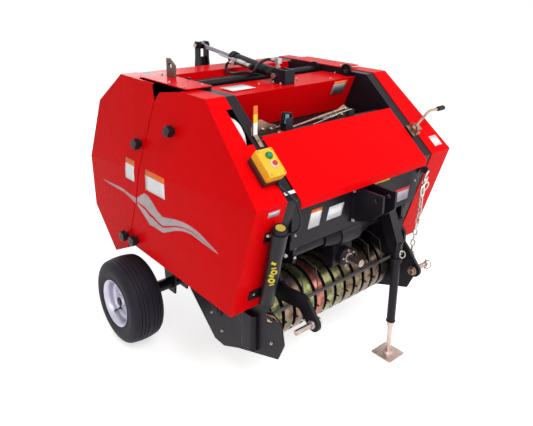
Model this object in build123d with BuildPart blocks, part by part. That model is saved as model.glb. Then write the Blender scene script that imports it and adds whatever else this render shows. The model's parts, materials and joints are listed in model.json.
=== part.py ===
"""Mini round baler for a three-point hitch, standing on its two wheels and its front jack.

Frame: +Z up, the hitch points to -Y and the machine's right side is -X. z = 0 is the ground and x = 0 the
centre plane. Millimetres. The sizes below count y from the drawing's zero, and save() moves each piece so that
the frame's origin lies midway along the machine. What moves: the gate behind, its hydraulic barrel and rod, the
twine box's lid, two wheels, the pick-up reel, the drive stub and the jack's leg.
"""

import os
from math import atan2, cos, hypot, pi, radians, sin, tan

from build123d import *

os.makedirs("parts", exist_ok=True)

# ------------------------------------------------------------------------------------------ driving sizes

# Body
chamber_half = 408.0  # centre plane to the inner face of a front side plate
top_z = 1310.0  # top edge of the side covers
front_y = -627.0  # foremost corner of the side covers
rear_y = 700.0  # rearmost corner of the side covers
plate_t = 6.0  # side plates
sheet_t = 3.0  # covers and panels
seat_gap = 0.4  # left between two pieces that are bolted together
run_gap = 5.0  # least room round what moves
gate_gap = 6.0  # from a front side plate to the gate's side plate
lip_out = 54.0  # from chamber_half out to the inner edge of a cover's flange
flange_out = 72.0  # from chamber_half out to the edge of the black flange under it
cover_out = 203.0  # from chamber_half out to a cover's side face
flange_t = 4.0  # black flanges that carry the covers
cover_lean = 0.15  # inward lean of a cover's upper facet for each mm of height
seam_gap = 8.0  # between the front cover and the gate's cover

# Gate and its pivot
pivot_y = 95.0
pivot_drop = 22.0  # pivot axis below top_z
pivot_r = 18.0
pivot_boss_r = 40.0
pivot_fit = 0.06  # radial clearance of the gate on its pivot tube
ear_r = 198.0  # the fixed ears behind the pivot stay inside this radius, so that the gate passes

# Bale chamber and its rollers
chamber_y = 205.0
chamber_z = 850.0
ring_r = 362.0  # roller centres, round the chamber's centre
roller_r = 54.0
rib_h = 6.0
front_roller_angles = (120, 150, 180, 240, 270)  # from +Y towards +Z, degrees
gate_roller_angles = (-60, -30, 0, 30, 60, 90)

# Hydraulic cylinder, in the centre plane
base_y = -62.0
base_rise = 9.0  # base pin above top_z
eye_y = 560.0
eye_rise = 85.0  # rod pin above top_z
pin_r = 9.0
barrel_r = 27.0
rod_r = 10.5
rod_fit = 0.3
barrel_reach = 350.0  # from the base pin to the barrel's gland

# Wheels
axle_y = 300.0
tyre_r = 215.0
tyre_w = 170.0
rim_r = 106.0
rim_flange_r = 120.0
wheel_out = 238.0  # from chamber_half out to a wheel's middle
stub_r = 12.5
stub_fit = 0.06
axle_tube_r = 30.0

# Hitch
hitch_half = 341.0  # centre plane to a lower hitch plate's middle
hitch_t = 15.0
hitch_pin_y = -672.0
hitch_pin_z = 438.0
hitch_pin_r = 11.0
hitch_nose_r = 34.0
hitch_pin_l = 84.0  # free length outside the collar
link_half = 41.0  # centre plane to a top-link ear's middle
link_t = 12.0
link_y = -712.0
link_z = 902.0
link_hole_r = 9.75
link_nose = 32.0  # a top-link ear ends this far before its hole

# Drive
tube_y = -505.0
tube_z = 685.0
tube_r = 25.0
drive_z = 567.0
drive_r = 17.5
drive_journal_r = 22.0
drive_tip_y = -624.0
drive_fit = 0.06

# Jack
jack_x = 237.0
jack_y = -638.0
jack_tube_r = 20.0
jack_bore_r = 12.5
jack_rod_r = 11.0
jack_low = 184.0
jack_high = 600.0
foot_half = 58.0

# Pick-up
reel_y = -345.0
reel_z = 350.0
band_r = 140.0
band_w = 46.0
band_count = 12
tine_tip_r = 160.0
pickup_out = 32.0  # from chamber_half out to a pick-up side plate

# Places that follow from the sizes above
pivot_z = top_z - pivot_drop
gate_outer = chamber_half - gate_gap
gate_inner = gate_outer - plate_t
plate_outer = chamber_half + plate_t
lip_x = chamber_half + lip_out
flange_x = chamber_half + flange_out
cover_x = chamber_half + cover_out
wheel_x = chamber_half + wheel_out
pickup_x = chamber_half + pickup_out
between_plates = chamber_half - seat_gap  # half length of what is bolted between the front side plates
between_gate = gate_inner - seat_gap
span = 2 * cover_x  # long enough to cut through the whole body
middle_y = (link_y - link_nose + rear_y) / 2  # halfway between the foremost and the rearmost point


# ------------------------------------------------------------------------------------------ planes, outlines

def side(x):
    """Plane across the machine at x: local x is Y, local y is Z, extrusions go to +X."""
    return Plane.YZ.offset(x)


def cross(y):
    """Plane facing the hitch at y: local x is X, local y is Z, extrusions go to -Y."""
    return Plane.XZ.offset(-y)


def level(z):
    """Horizontal plane at z."""
    return Plane.XY.offset(z)


# A side cover seen from the side, from the rear end of its top edge round to the front end: (y, z).
cover_outline = (
    (rear_y - 257, top_z),
    (rear_y - 55, top_z - 157),
    (rear_y, 855),
    (rear_y - 14, 591),
    (rear_y - 211, 393),
    (278, 500),
    (front_y + 152, 480),
    (front_y, 981),
    (front_y + 377, top_z),
)
crease_rear = cover_outline[2]
crease_front = cover_outline[7]
slope_top = cover_outline[8]
flange_foot = cover_outline[6]

# The front slope, from slope_top down to crease_front. Local y runs up the slope.
slope_length = hypot(slope_top[0] - crease_front[0], slope_top[1] - crease_front[1])
slope_dy = (crease_front[0] - slope_top[0]) / slope_length
slope_dz = (crease_front[1] - slope_top[1]) / slope_length
slope = Plane(origin=(0, *slope_top), x_dir=(1, 0, 0), z_dir=(0, slope_dz, -slope_dy))


def on_slope(down, out=0.0):
    """(y, z) of the point so far down the front slope and so far out of it."""
    return (slope_top[0] + slope_dy * down + slope_dz * out, slope_top[1] + slope_dz * down - slope_dy * out)


# The front edge below the slope, from crease_front down to flange_foot. Local y runs up the edge.
edge_length = hypot(crease_front[0] - flange_foot[0], crease_front[1] - flange_foot[1])
edge_dy = (crease_front[0] - flange_foot[0]) / edge_length
edge_dz = (crease_front[1] - flange_foot[1]) / edge_length
front_edge = Plane(origin=(0, *flange_foot), x_dir=(1, 0, 0), z_dir=(0, -edge_dz, edge_dy))


def crease_z(y):
    """Height of the crease in a side cover's face."""
    share = (y - crease_rear[0]) / (crease_front[0] - crease_rear[0])
    return crease_rear[1] + share * (crease_front[1] - crease_rear[1])


crease_dir = Vector(0, crease_rear[0] - crease_front[0], crease_rear[1] - crease_front[1]).normalized()
lean_plane = Plane(
    origin=(cover_x, *crease_front), x_dir=crease_dir, z_dir=crease_dir.cross(Vector(-cover_lean, 0, 1))
)


def on_cover(y, z):
    """Plane on the left cover's outer face at (y, z), a bolted gap off it."""
    above = z - crease_z(y)
    if above > 0:
        return Plane(origin=(cover_x - cover_lean * above, y, z), z_dir=lean_plane.z_dir).offset(seat_gap)
    return Plane(origin=(cover_x + seat_gap, y, z), x_dir=(0, 1, 0), z_dir=(1, 0, 0))


# The seam between a front cover and the gate's cover, and the notch above it that lets the gate swing.
notch = (pivot_y + 25, pivot_z - 47)
notch_rear = (pivot_y + 55, pivot_z + 8)
notch_front = (pivot_y - 9, pivot_z - 7)
front_top_end = (pivot_y - 174, top_z)
seam = (notch, (238, 766), (351, 463))
far = 2000.0
gate_side = (
    (notch_rear[0], far), notch_rear, *[(y + seam_gap / 2, z) for y, z in seam],
    (seam[-1][0] + seam_gap / 2, 0), (far, 0), (far, far),
)
front_side = (
    (front_top_end[0], far), front_top_end, notch_front, *[(y - seam_gap / 2, z) for y, z in seam],
    (seam[-1][0] - seam_gap / 2, 0), (-far, 0), (-far, far),
)


def save(name, part):
    """Writes a piece with the frame's origin midway along the machine."""
    placed = part.moved(Location((0, -middle_y, 0)))
    placed.label = name
    export_step(placed, f"parts/{name}.step")


def save_pair(name, part):
    """The left piece as made, and the right one as its mirror image."""
    save(f"{name}_left", part)
    save(f"{name}_right", mirror(part, about=Plane.YZ))


def ring_point(angle):
    """(y, z) of a roller's axis."""
    return (chamber_y + ring_r * cos(radians(angle)), chamber_z + ring_r * sin(radians(angle)))


# ------------------------------------------------------------------------------------------ side covers

with BuildPart() as cover_room:  # the space inside a cover
    with BuildSketch(side(lip_x)):
        Polygon(*cover_outline, align=None)
        offset(amount=-sheet_t, kind=Kind.INTERSECTION)
    extrude(amount=cover_x - sheet_t - lip_x)
    split(bisect_by=lean_plane.offset(-sheet_t), keep=Keep.BOTTOM)

with BuildPart() as cover:
    with BuildSketch(side(lip_x)):
        Polygon(*cover_outline, align=None)
    extrude(amount=cover_x - lip_x)
    split(bisect_by=lean_plane, keep=Keep.BOTTOM)
    add(cover_room.part, mode=Mode.SUBTRACT)

with BuildPart() as front_cover:
    add(cover.part)
    with BuildSketch(side(lip_x)):
        Polygon(*front_side, align=None)
    extrude(amount=cover_out, mode=Mode.INTERSECT)
save("front_cover_left", front_cover.part)

# The right cover's slope has a notch over the twine disc.
disc_notch_x = (lip_x - 3, lip_x + 29)
disc_notch_down = (64.0, 237.0)
with BuildPart() as front_cover_right:
    add(mirror(front_cover.part, about=Plane.YZ))
    with BuildSketch(slope.offset(run_gap)):
        with Locations((-(disc_notch_x[0] + disc_notch_x[1]) / 2, -(disc_notch_down[0] + disc_notch_down[1]) / 2)):
            Rectangle(disc_notch_x[1] - disc_notch_x[0], disc_notch_down[1] - disc_notch_down[0])
    extrude(amount=-4 * run_gap, mode=Mode.SUBTRACT)
save("front_cover_right", front_cover_right.part)

gate_flange_y = 300.0  # the gate cover's top flange starts here, behind the fixed ears
with BuildPart() as gate_cover:
    add(cover.part)
    with BuildSketch(side(lip_x)):
        Polygon(*gate_side, align=None)
    extrude(amount=cover_out, mode=Mode.INTERSECT)
    with BuildSketch(level(top_z - 2 * sheet_t)):
        with Locations((lip_x, 0)):
            Rectangle(156, 2 * gate_flange_y)
    extrude(amount=4 * sheet_t, mode=Mode.SUBTRACT)
save_pair("gate_cover", gate_cover.part)

# Knobs that hold the covers shut: (y, z) on a cover's face.
knob_foot_r = 13.0
knob_foot_h = 11.0
knob_r = 26.0
knob_h = 24.0
knob_lobes = 5
knob_lobe_r = 10.0
front_knob_places = ((-49, 1142), (257, 540))
gate_knob_places = ((211, 1029), (352, 531))
for knob_name, places in (("front_knobs", front_knob_places), ("gate_knobs", gate_knob_places)):
    with BuildPart() as knobs:
        for y, z in places:
            with BuildSketch(on_cover(y, z)):
                Circle(knob_foot_r)
            extrude(amount=knob_foot_h)
            with BuildSketch(on_cover(y, z).offset(knob_foot_h)):
                Circle(knob_r - knob_lobe_r / 2)
                with PolarLocations(knob_r - knob_lobe_r, knob_lobes):
                    Circle(knob_lobe_r)
            extrude(amount=knob_h)
        mirror(about=Plane.YZ)
    save(knob_name, knobs.part)

# ------------------------------------------------------------------------------------------ front frame

ear_z = top_z + 7.7  # top of the raised flange
ear_front_y = pivot_y - 185
ear_rear_y = pivot_y + 190
leg_z = 338.6  # where the axle's brackets bolt on
plate_seam = ((130, 1180), (300, 470))  # rear edge of the front side plates, inside the chamber

with BuildSketch(side(chamber_half)) as ear_outline:
    Polygon(
        (ear_front_y, top_z - 60), (ear_front_y, ear_z), (ear_rear_y, ear_z), (ear_rear_y, ear_z - 80),
        (plate_seam[0][0], plate_seam[0][1]), align=None,
    )
    with Locations((pivot_y, pivot_z)):
        Circle(ear_r, mode=Mode.INTERSECT)

with BuildPart() as side_plate:
    with BuildSketch(side(chamber_half)):
        Polygon(*cover_outline, align=None)
        offset(amount=-(sheet_t + seat_gap), kind=Kind.INTERSECTION)
        Polygon(
            (-far, far), (plate_seam[0][0], far), *plate_seam, (plate_seam[1][0], 0), (-far, 0),
            align=None, mode=Mode.INTERSECT,
        )
        add(ear_outline.sketch_local)
        Polygon(
            (190, 540), (plate_seam[1][0] - 10, 540), (axle_y + 64, leg_z), (axle_y - 64, leg_z), align=None
        )
        with Locations((pivot_y, pivot_z)):
            Circle(pivot_r + seat_gap, mode=Mode.SUBTRACT)
    extrude(amount=plate_t)
    with BuildSketch(side(chamber_half)):  # the flange that carries the cover
        Polygon(*cover_outline, align=None)
        offset(amount=-(sheet_t + seat_gap), kind=Kind.INTERSECTION)
        offset(amount=-flange_t, mode=Mode.SUBTRACT, kind=Kind.INTERSECTION)
        Polygon(
            (-far, far), (ear_front_y, far), (ear_front_y, 700), (140, 600), (140, 0), (-far, 0),
            align=None, mode=Mode.INTERSECT,
        )
    extrude(amount=flange_out)
    with BuildSketch(level(ear_z)):  # the raised flange that carries the top plate
        with Locations((chamber_half, ear_front_y)):
            Rectangle(42, ear_rear_y - 2 - ear_front_y, align=(Align.MIN, Align.MIN))
    extrude(amount=-flange_t)
save("side_plate_left", side_plate.part)

with BuildPart() as side_plate_right:
    add(mirror(side_plate.part, about=Plane.YZ))
    with BuildSketch(slope.offset(run_gap)):
        with Locations((-(lip_x - 3), -(disc_notch_down[0] + disc_notch_down[1]) / 2)):
            Rectangle(
                disc_notch_x[1] - disc_notch_x[0], disc_notch_down[1] - disc_notch_down[0],
                align=(Align.MAX, Align.CENTER),
            )
    extrude(amount=-4 * run_gap, mode=Mode.SUBTRACT)
save("side_plate_right", side_plate_right.part)

with BuildPart() as top_plates:
    with BuildSketch(level(ear_z + 0.3)):
        with Locations((chamber_half, ear_front_y - run_gap)):
            Rectangle(130, ear_rear_y - 2 - ear_front_y + run_gap, align=(Align.MIN, Align.MIN))
        fillet(vertices().group_by(Axis.X)[-1], radius=8)
    extrude(amount=4)
    mirror(about=Plane.YZ)
save("top_plates", top_plates.part)


with BuildPart() as pivot_tube:
    with BuildSketch(side(-(plate_outer + 22))):
        with Locations((pivot_y, pivot_z)):
            Circle(pivot_r)
            Circle(pivot_r - 4, mode=Mode.SUBTRACT)
    extrude(amount=2 * (plate_outer + 22))
save("pivot_tube", pivot_tube.part)

box_t = 4.0
box_front_y = pivot_y - 276
box_rear_y = pivot_y - 55
box_z = top_z - 25
with BuildPart() as top_box:
    with BuildSketch(side(-between_plates)):
        with BuildLine():
            Polyline(
                (box_rear_y, box_z - 50), (box_rear_y, box_z), (box_front_y, box_z), (box_front_y + 69, box_z - 171)
            )
            offset(amount=box_t, side=Side.LEFT, kind=Kind.INTERSECTION)
        make_face()
    extrude(amount=2 * between_plates)
save("top_box", top_box.part)

# Lifting eyes: a flat plate on the right top plate and a round ring in the left front corner of the top box.
eye_t = 12.0
eye_hole_r = 14.0
plate_eye_y = pivot_y + 83
plate_eye_foot = ear_z + 4.6
plate_eye_h = 82.0
ring_eye_x = between_plates - 22
ring_eye_y = box_front_y + 46
ring_eye_foot = box_z + 0.3
ring_eye_r = 30.0
with BuildPart() as lifting_eyes:
    with BuildSketch(side(-(chamber_half + 32))):
        Polygon(
            (plate_eye_y - 31, plate_eye_foot), (plate_eye_y + 31, plate_eye_foot),
            (plate_eye_y + 31, plate_eye_foot + plate_eye_h), (plate_eye_y + 14, plate_eye_foot + plate_eye_h),
            (plate_eye_y - 31, plate_eye_foot + plate_eye_h - 28), align=None,
        )
        with Locations((plate_eye_y + 2, plate_eye_foot + plate_eye_h - 33)):
            Circle(eye_hole_r, mode=Mode.SUBTRACT)
    extrude(amount=eye_t)
    with BuildSketch(side(ring_eye_x)):
        with Locations((ring_eye_y, ring_eye_foot)):
            Rectangle(44, 20, align=(Align.CENTER, Align.MIN))
        with Locations((ring_eye_y, ring_eye_foot + ring_eye_r)):
            Circle(ring_eye_r)
            Circle(eye_hole_r, mode=Mode.SUBTRACT)
    extrude(amount=eye_t)
save("lifting_eyes", lifting_eyes.part)

floor_t = 3.0
with BuildPart() as twine_floor:
    with BuildSketch(side(-between_plates)):
        with BuildLine():
            Polyline(
                (front_y + 60, 942), (front_y + 207, 1076), (box_front_y, 1098), (box_front_y + 72, box_z - 174)
            )
            offset(amount=floor_t, side=Side.RIGHT, kind=Kind.INTERSECTION)
        make_face()
    extrude(amount=2 * between_plates)
save("twine_floor", twine_floor.part)


def roller_row(angles, half):
    """Ribbed rollers with their axes on the chamber's ring."""
    with BuildPart() as row:
        for angle in angles:
            y, z = ring_point(angle)
            with BuildSketch(side(-half)):
                with Locations((y, z)):
                    Circle(roller_r)
                    with PolarLocations(roller_r, 8):
                        Rectangle(2 * rib_h, 8)
            extrude(amount=2 * half)
    return row.part


save("front_rollers", roller_row(front_roller_angles, between_plates))

# Cross beam under the front plate
beam_front_y = -590.0
beam_rear_y = -530.0
beam_low = 750.0
beam_high = 800.0
beam_wall = 5.0
with BuildPart() as cross_beam:
    with BuildSketch(side(-between_plates)):
        with Locations(((beam_front_y + beam_rear_y) / 2, (beam_low + beam_high) / 2)):
            Rectangle(beam_rear_y - beam_front_y, beam_high - beam_low)
            Rectangle(
                beam_rear_y - beam_front_y - 2 * beam_wall, beam_high - beam_low - 2 * beam_wall,
                mode=Mode.SUBTRACT,
            )
    extrude(amount=2 * between_plates)
save("cross_beam", cross_beam.part)

panel_half = chamber_half - 1.0
panel_low = 790.0
panel_high = 985.0
panel_t = 5.0
panel_back_y = beam_front_y - seat_gap
panel_fold = 18.0
with BuildPart() as front_plate:
    with BuildSketch(level(panel_low)):
        with BuildLine():
            Polyline(
                (-panel_half, panel_back_y + panel_fold), (-panel_half, panel_back_y - panel_t),
                (panel_half, panel_back_y - panel_t), (panel_half, panel_back_y + panel_fold),
            )
            offset(amount=panel_t, side=Side.LEFT, kind=Kind.INTERSECTION)
        make_face()
    extrude(amount=panel_high - panel_low)
    with BuildSketch(cross(panel_back_y)):  # the folds start above the beam
        with Locations((0, beam_high + seat_gap)):
            Rectangle(span, 100, align=(Align.CENTER, Align.MAX))
    extrude(amount=-2 * panel_fold, mode=Mode.SUBTRACT)
save("front_plate", front_plate.part)

link_back_y = panel_back_y - panel_t - seat_gap
link_foot = 772.0
link_top = 930.0
with BuildPart() as top_link_clevis:
    with BuildSketch(cross(link_back_y)):
        with Locations((0, (link_foot + link_top) / 2)):
            Rectangle(2 * (link_half + 24), link_top - link_foot)
        fillet(vertices(), radius=10)
    extrude(amount=6)
    for x in (-link_half, link_half):
        with BuildSketch(side(x - link_t / 2)):
            Polygon(
                (link_back_y - 5, link_top), (link_y - link_nose, link_top), (link_y - link_nose, link_z - 45),
                (link_y + 15, link_foot + 40), (link_back_y - 5, link_foot), align=None,
            )
            fillet(vertices().group_by(Axis.Y)[0:2], radius=16)
            with Locations((link_y, link_z)):
                Circle(link_hole_r, mode=Mode.SUBTRACT)
        extrude(amount=link_t)
    with BuildSketch(level(link_foot + 44)):  # the web between the two ears
        with Locations((0, link_back_y - 3)):
            Rectangle(2 * link_half, 74, align=(Align.CENTER, Align.MAX))
    extrude(amount=10)
save("top_link_clevis", top_link_clevis.part)

# Lower hitch plates. Both have the same arm, the left one is wider above it because it braces the jack.
arm = (
    (-400, 480), (-427, 446), (-509, 460), (-592, 470), (hitch_pin_y + 24, hitch_pin_z - 24),
    (hitch_pin_y - 22, hitch_pin_z + 25), (-636, 532),
)
hitch_top = beam_low - seat_gap
shoulders = {
    "right": ((-612, 540), (-515, 532), (-478, 545), (-462, 587), (-471, 634), (-548, 655), (-548, hitch_top)),
    "left": ((-606, 560), (-603, 612), (-575, 640), (-575, hitch_top)),
}
for name, shoulder in shoulders.items():
    middle = hitch_half if name == "left" else -hitch_half
    with BuildPart() as hitch_plate:
        with BuildSketch(side(middle - hitch_t / 2)):
            Polygon(*arm, *shoulder, (-400, hitch_top), align=None)
            with Locations((hitch_pin_y, hitch_pin_z)):
                Circle(hitch_nose_r)
            with Locations((hitch_pin_y, hitch_pin_z)):
                Circle(hitch_pin_r + seat_gap, mode=Mode.SUBTRACT)
            with Locations((tube_y, tube_z)):
                Circle(tube_r + seat_gap, mode=Mode.SUBTRACT)
            with Locations((reel_y, reel_z)):
                Circle(tine_tip_r + run_gap, mode=Mode.SUBTRACT)
        extrude(amount=hitch_t)
    save(f"hitch_plate_{name}", hitch_plate.part)

pin_inside = 16.0
pin_collar_l = 12.0
with BuildPart() as hitch_pins:
    start = hitch_half - hitch_t / 2
    with BuildSketch(side(start - pin_inside)):
        with Locations((hitch_pin_y, hitch_pin_z)):
            Circle(hitch_pin_r)
    extrude(amount=pin_inside + hitch_t + pin_collar_l + hitch_pin_l)
    with BuildSketch(side(start - pin_inside)):
        with Locations((hitch_pin_y, hitch_pin_z)):
            RegularPolygon(radius=18, side_count=6)
    extrude(amount=pin_inside - seat_gap)
    with BuildSketch(side(start + hitch_t + seat_gap)):
        with Locations((hitch_pin_y, hitch_pin_z)):
            Circle(17)
    extrude(amount=pin_collar_l - seat_gap)
    chamfer(edges().filter_by(GeomType.CIRCLE).group_by(Axis.X)[-1], length=2)
    mirror(about=Plane.YZ)
save("hitch_pins", hitch_pins.part)

# ------------------------------------------------------------------------------------------ drive

gearbox_half = 62.0
gearbox_r = 56.0
gearbox_low = drive_z - 50
gearbox_depth = 62.0
boss_y = -548.0
boss_r = 45.0
bore_end_y = boss_y + 70
with BuildPart() as gearbox:
    with BuildSketch(side(-gearbox_half)):
        with Locations((tube_y, tube_z)):
            Circle(gearbox_r)
        with Locations((tube_y + gearbox_r - gearbox_depth / 2, (gearbox_low + tube_z) / 2)):
            Rectangle(gearbox_depth, tube_z - gearbox_low)
    extrude(amount=2 * gearbox_half)
    fillet(edges().filter_by(Axis.X).group_by(Axis.Z)[0], radius=16)
    with BuildSketch(cross(tube_y + gearbox_r - gearbox_depth + 1)):
        with Locations((0, drive_z)):
            Circle(boss_r)
    extrude(amount=tube_y + gearbox_r - gearbox_depth + 1 - boss_y)
    fillet(edges().filter_by(GeomType.CIRCLE).group_by(Axis.Y)[0], radius=14)
    with BuildSketch(side(-gearbox_half)):
        with Locations((tube_y, tube_z)):
            Circle(50)
    extrude(amount=-80, taper=12)
    with BuildSketch(side(gearbox_half)):
        with Locations((tube_y, tube_z)):
            Circle(50)
    extrude(amount=80, taper=12)
    with BuildSketch(cross(boss_y)):
        with Locations((0, drive_z)):
            Circle(drive_journal_r + drive_fit)
    extrude(amount=boss_y - bore_end_y, mode=Mode.SUBTRACT)
save("gearbox", gearbox.part)

with BuildPart() as drive_tube:
    for start in (-(hitch_half + 17), gearbox_half + 80 + seat_gap):
        with BuildSketch(side(start)):
            with Locations((tube_y, tube_z)):
                Circle(tube_r)
        extrude(amount=hitch_half + 17 - gearbox_half - 80 - seat_gap)
save("drive_tube", drive_tube.part)

journal_front_y = boss_y - 2
with BuildPart() as pto_stub:
    with BuildSketch(cross(bore_end_y - 0.5)):
        with Locations((0, drive_z)):
            Circle(drive_journal_r)
    extrude(amount=bore_end_y - 0.5 - journal_front_y)
    with BuildSketch(cross(journal_front_y)):
        with Locations((0, drive_z)):
            Circle(drive_r)
    extrude(amount=journal_front_y - drive_tip_y)
    chamfer(edges().filter_by(GeomType.CIRCLE).group_by(Axis.Y)[0], length=2)
save("pto_stub", pto_stub.part)

# ------------------------------------------------------------------------------------------ jack

arm_w = 50.0
with BuildPart() as jack_tube:
    with BuildSketch(level(jack_low)):
        with Locations((jack_x, jack_y)):
            Circle(jack_tube_r)
    extrude(amount=jack_high - jack_low)
    with BuildSketch(level(505)):
        with Locations((jack_x, jack_y)):
            Circle(jack_tube_r + 8)
    extrude(amount=14)
    with BuildSketch(side(jack_x - arm_w / 2)):
        Polygon(
            (beam_front_y, hitch_top), (beam_rear_y - 5, hitch_top), (beam_rear_y - 40, 640), (jack_y + 24, 556),
            (jack_y - 10, 556), (jack_y - 14, 606), align=None,
        )
    extrude(amount=arm_w)
    with BuildSketch(side(jack_x + arm_w / 2 - 1)):
        Polygon((-590, 615), (-545, 640), (-545, 690), (-590, 680), align=None)
    extrude(amount=hitch_half - hitch_t / 2 - seat_gap - jack_x - arm_w / 2 + 1)
    with BuildSketch(level(jack_low)):
        with Locations((jack_x, jack_y)):
            Circle(jack_bore_r)
    extrude(amount=jack_high - 20 - jack_low, mode=Mode.SUBTRACT)
save("jack_tube", jack_tube.part)

with BuildPart() as jack_collar:
    with BuildSketch(level(jack_low - 22)):
        with Locations((jack_x, jack_y)):
            Circle(17)
            Circle(jack_rod_r + 0.3, mode=Mode.SUBTRACT)
    extrude(amount=22 - seat_gap)
save("jack_collar", jack_collar.part)

foot_t = 6.0
with BuildPart() as jack_leg:
    with BuildSketch(level(foot_t)):
        with Locations((jack_x, jack_y)):
            Circle(jack_rod_r)
    extrude(amount=400)
    with BuildSketch(level(0)):
        with Locations((jack_x, jack_y)):
            RectangleRounded(2 * foot_half, 2 * foot_half, 10)
    extrude(amount=foot_t)
    with BuildSketch(level(foot_t)):
        with Locations((jack_x, jack_y)):
            Circle(24)
    extrude(amount=12, taper=25)
save("jack_leg", jack_leg.part)

# ------------------------------------------------------------------------------------------ axle and wheels

bracket_t = 10.0
stub_end = wheel_x + 62
with BuildPart() as axle:
    with BuildSketch(side(-(wheel_x - tyre_w / 2 - 8))):
        with Locations((axle_y, tyre_r)):
            Circle(axle_tube_r)
    extrude(amount=2 * (wheel_x - tyre_w / 2 - 8))
    with BuildSketch(side(-stub_end)):
        with Locations((axle_y, tyre_r)):
            Circle(stub_r)
    extrude(amount=2 * stub_end)
    for x in (chamber_half - 80, plate_outer - bracket_t - 2):
        for start in (x, -x - bracket_t):
            with BuildSketch(side(start)):
                Polygon(
                    (axle_y - 60, leg_z - seat_gap), (axle_y + 60, leg_z - seat_gap), (axle_y + 42, tyre_r - 50),
                    (axle_y - 42, tyre_r - 50), align=None,
                )
            extrude(amount=bracket_t)
    for start in (chamber_half - 84, -(plate_outer + 6)):
        with BuildSketch(level(leg_z - seat_gap)):
            with Locations((start, axle_y)):
                Rectangle(plate_outer + 6 - chamber_half + 84, 128, align=(Align.MIN, Align.CENTER))
        extrude(amount=-8)
save("axle", axle.part)

rim_half = 70.0
wall = 4.0
tyre_in = rim_r + seat_gap
bead_run = 24.0  # width of the rim's raised edge
bead_half = rim_half - bead_run / 2 - 0.5
bead_r = tyre_in + rim_flange_r - rim_r
tread_r = tyre_r - 7
tread_half = tyre_w / 2 - 22
wall_r = tyre_r - 48  # where the tyre is widest
wheel_plane = Plane(origin=(wheel_x, axle_y, tyre_r), x_dir=(0, 0, 1), z_dir=(0, 1, 0))  # local x is radial
with BuildPart() as tyre:
    with BuildSketch(wheel_plane) as tyre_section:
        with BuildLine():
            crown = ThreePointArc((tread_r, -tread_half), (tyre_r, 0), (tread_r, tread_half))
            upper = TangentArc(crown @ 1, (wall_r, tyre_w / 2), tangent=crown % 1)
            Polyline(
                upper @ 1, (bead_r, bead_half + bead_run), (tyre_in, bead_half), (tyre_in, -bead_half),
                (bead_r, -bead_half - bead_run), (wall_r, -tyre_w / 2),
            )
            TangentArc(crown @ 0, (wall_r, -tyre_w / 2), tangent=-(crown % 0))
        make_face()
    revolve(axis=Axis((wheel_x, axle_y, tyre_r), (1, 0, 0)))
save_pair("tyre", tyre.part)

dish_x = 24.0  # the disc stands this far outboard of the wheel's middle
hub_r = 30.0
with BuildPart() as rim:
    with BuildSketch(wheel_plane):
        with BuildLine():
            Polyline(
                (rim_flange_r, rim_half + bead_run / 2), (rim_r, rim_half - bead_run / 2),
                (rim_r, -(rim_half - bead_run / 2)), (rim_flange_r, -(rim_half + bead_run / 2)),
            )
            offset(amount=wall, side=Side.RIGHT, kind=Kind.INTERSECTION)
        make_face()
        Polygon(
            (rim_r - wall + 1, dish_x - 3), (rim_r - wall + 1, dish_x + 3), (hub_r - 1, dish_x + 13),
            (hub_r - 1, dish_x + 5), align=None,
        )
        with Locations(((hub_r + stub_r + stub_fit) / 2, 10)):
            Rectangle(hub_r - stub_r - stub_fit, 90)
    revolve(axis=Axis((wheel_x, axle_y, tyre_r), (1, 0, 0)))
save_pair("rim", rim.part)

# ------------------------------------------------------------------------------------------ gate

with BuildPart() as gate_side_plate:
    with BuildSketch(side(gate_inner)):
        Polygon(*cover_outline, align=None)
        offset(amount=-(sheet_t + seat_gap), kind=Kind.INTERSECTION)
        Polygon(
            (pivot_y, far), (pivot_y, pivot_z), (118, 1215), (300, 505), (300, 0), (far, 0), (far, far),
            align=None, mode=Mode.INTERSECT,
        )
        with Locations((pivot_y, pivot_z)):
            Circle(pivot_boss_r)
            Circle(pivot_r + pivot_fit, mode=Mode.SUBTRACT)
    extrude(amount=plate_t)
    with BuildSketch(side(gate_inner)):
        Polygon(*cover_outline, align=None)
        offset(amount=-(sheet_t + seat_gap), kind=Kind.INTERSECTION)
        offset(amount=-flange_t, mode=Mode.SUBTRACT, kind=Kind.INTERSECTION)
        Polygon(
            (gate_flange_y, far), (gate_flange_y, 700), (rear_y - 205, 480), (rear_y - 205, 0), (far, 0), (far, far),
            align=None, mode=Mode.INTERSECT,
        )
    extrude(amount=flange_x - gate_inner)
save_pair("gate_side", gate_side_plate.part)

gate_lip_y = 292.0
panel_drop = sheet_t + seat_gap
panel_edge = (cover_outline[0][0] - 1, top_z - panel_drop)
panel_foot = (cover_outline[1][0] - 4, cover_outline[1][1] - 2)
with BuildPart() as gate_panel:
    with BuildSketch(side(-between_gate)):
        with BuildLine():
            Polyline(
                (gate_lip_y, top_z - 40), (gate_lip_y, top_z - panel_drop), panel_edge, panel_foot,
            )
            offset(amount=sheet_t, side=Side.RIGHT, kind=Kind.INTERSECTION)
        make_face()
    extrude(amount=2 * between_gate)
save("gate_panel", gate_panel.part)

save("gate_rollers", roller_row(gate_roller_angles, between_gate))

# The post that carries the rod's pin. Its ears hold the pin outside the eye, and the eye runs free between them.
eye_z = top_z + eye_rise
eye_half = 11.0
post_half = 32.0
cheek_t = 10.0
post_front_y = eye_y - 22
post_rear_y = eye_y + 18
post_boss_r = 16.0
window_low = eye_z - 62  # a web joins the two cheeks below the window


def on_gate_slope(y):
    """Height just above the gate panel's rear slope at y."""
    share = (y - panel_edge[0]) / (panel_foot[0] - panel_edge[0])
    return panel_edge[1] + share * (panel_foot[1] - panel_edge[1]) + 0.5


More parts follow.
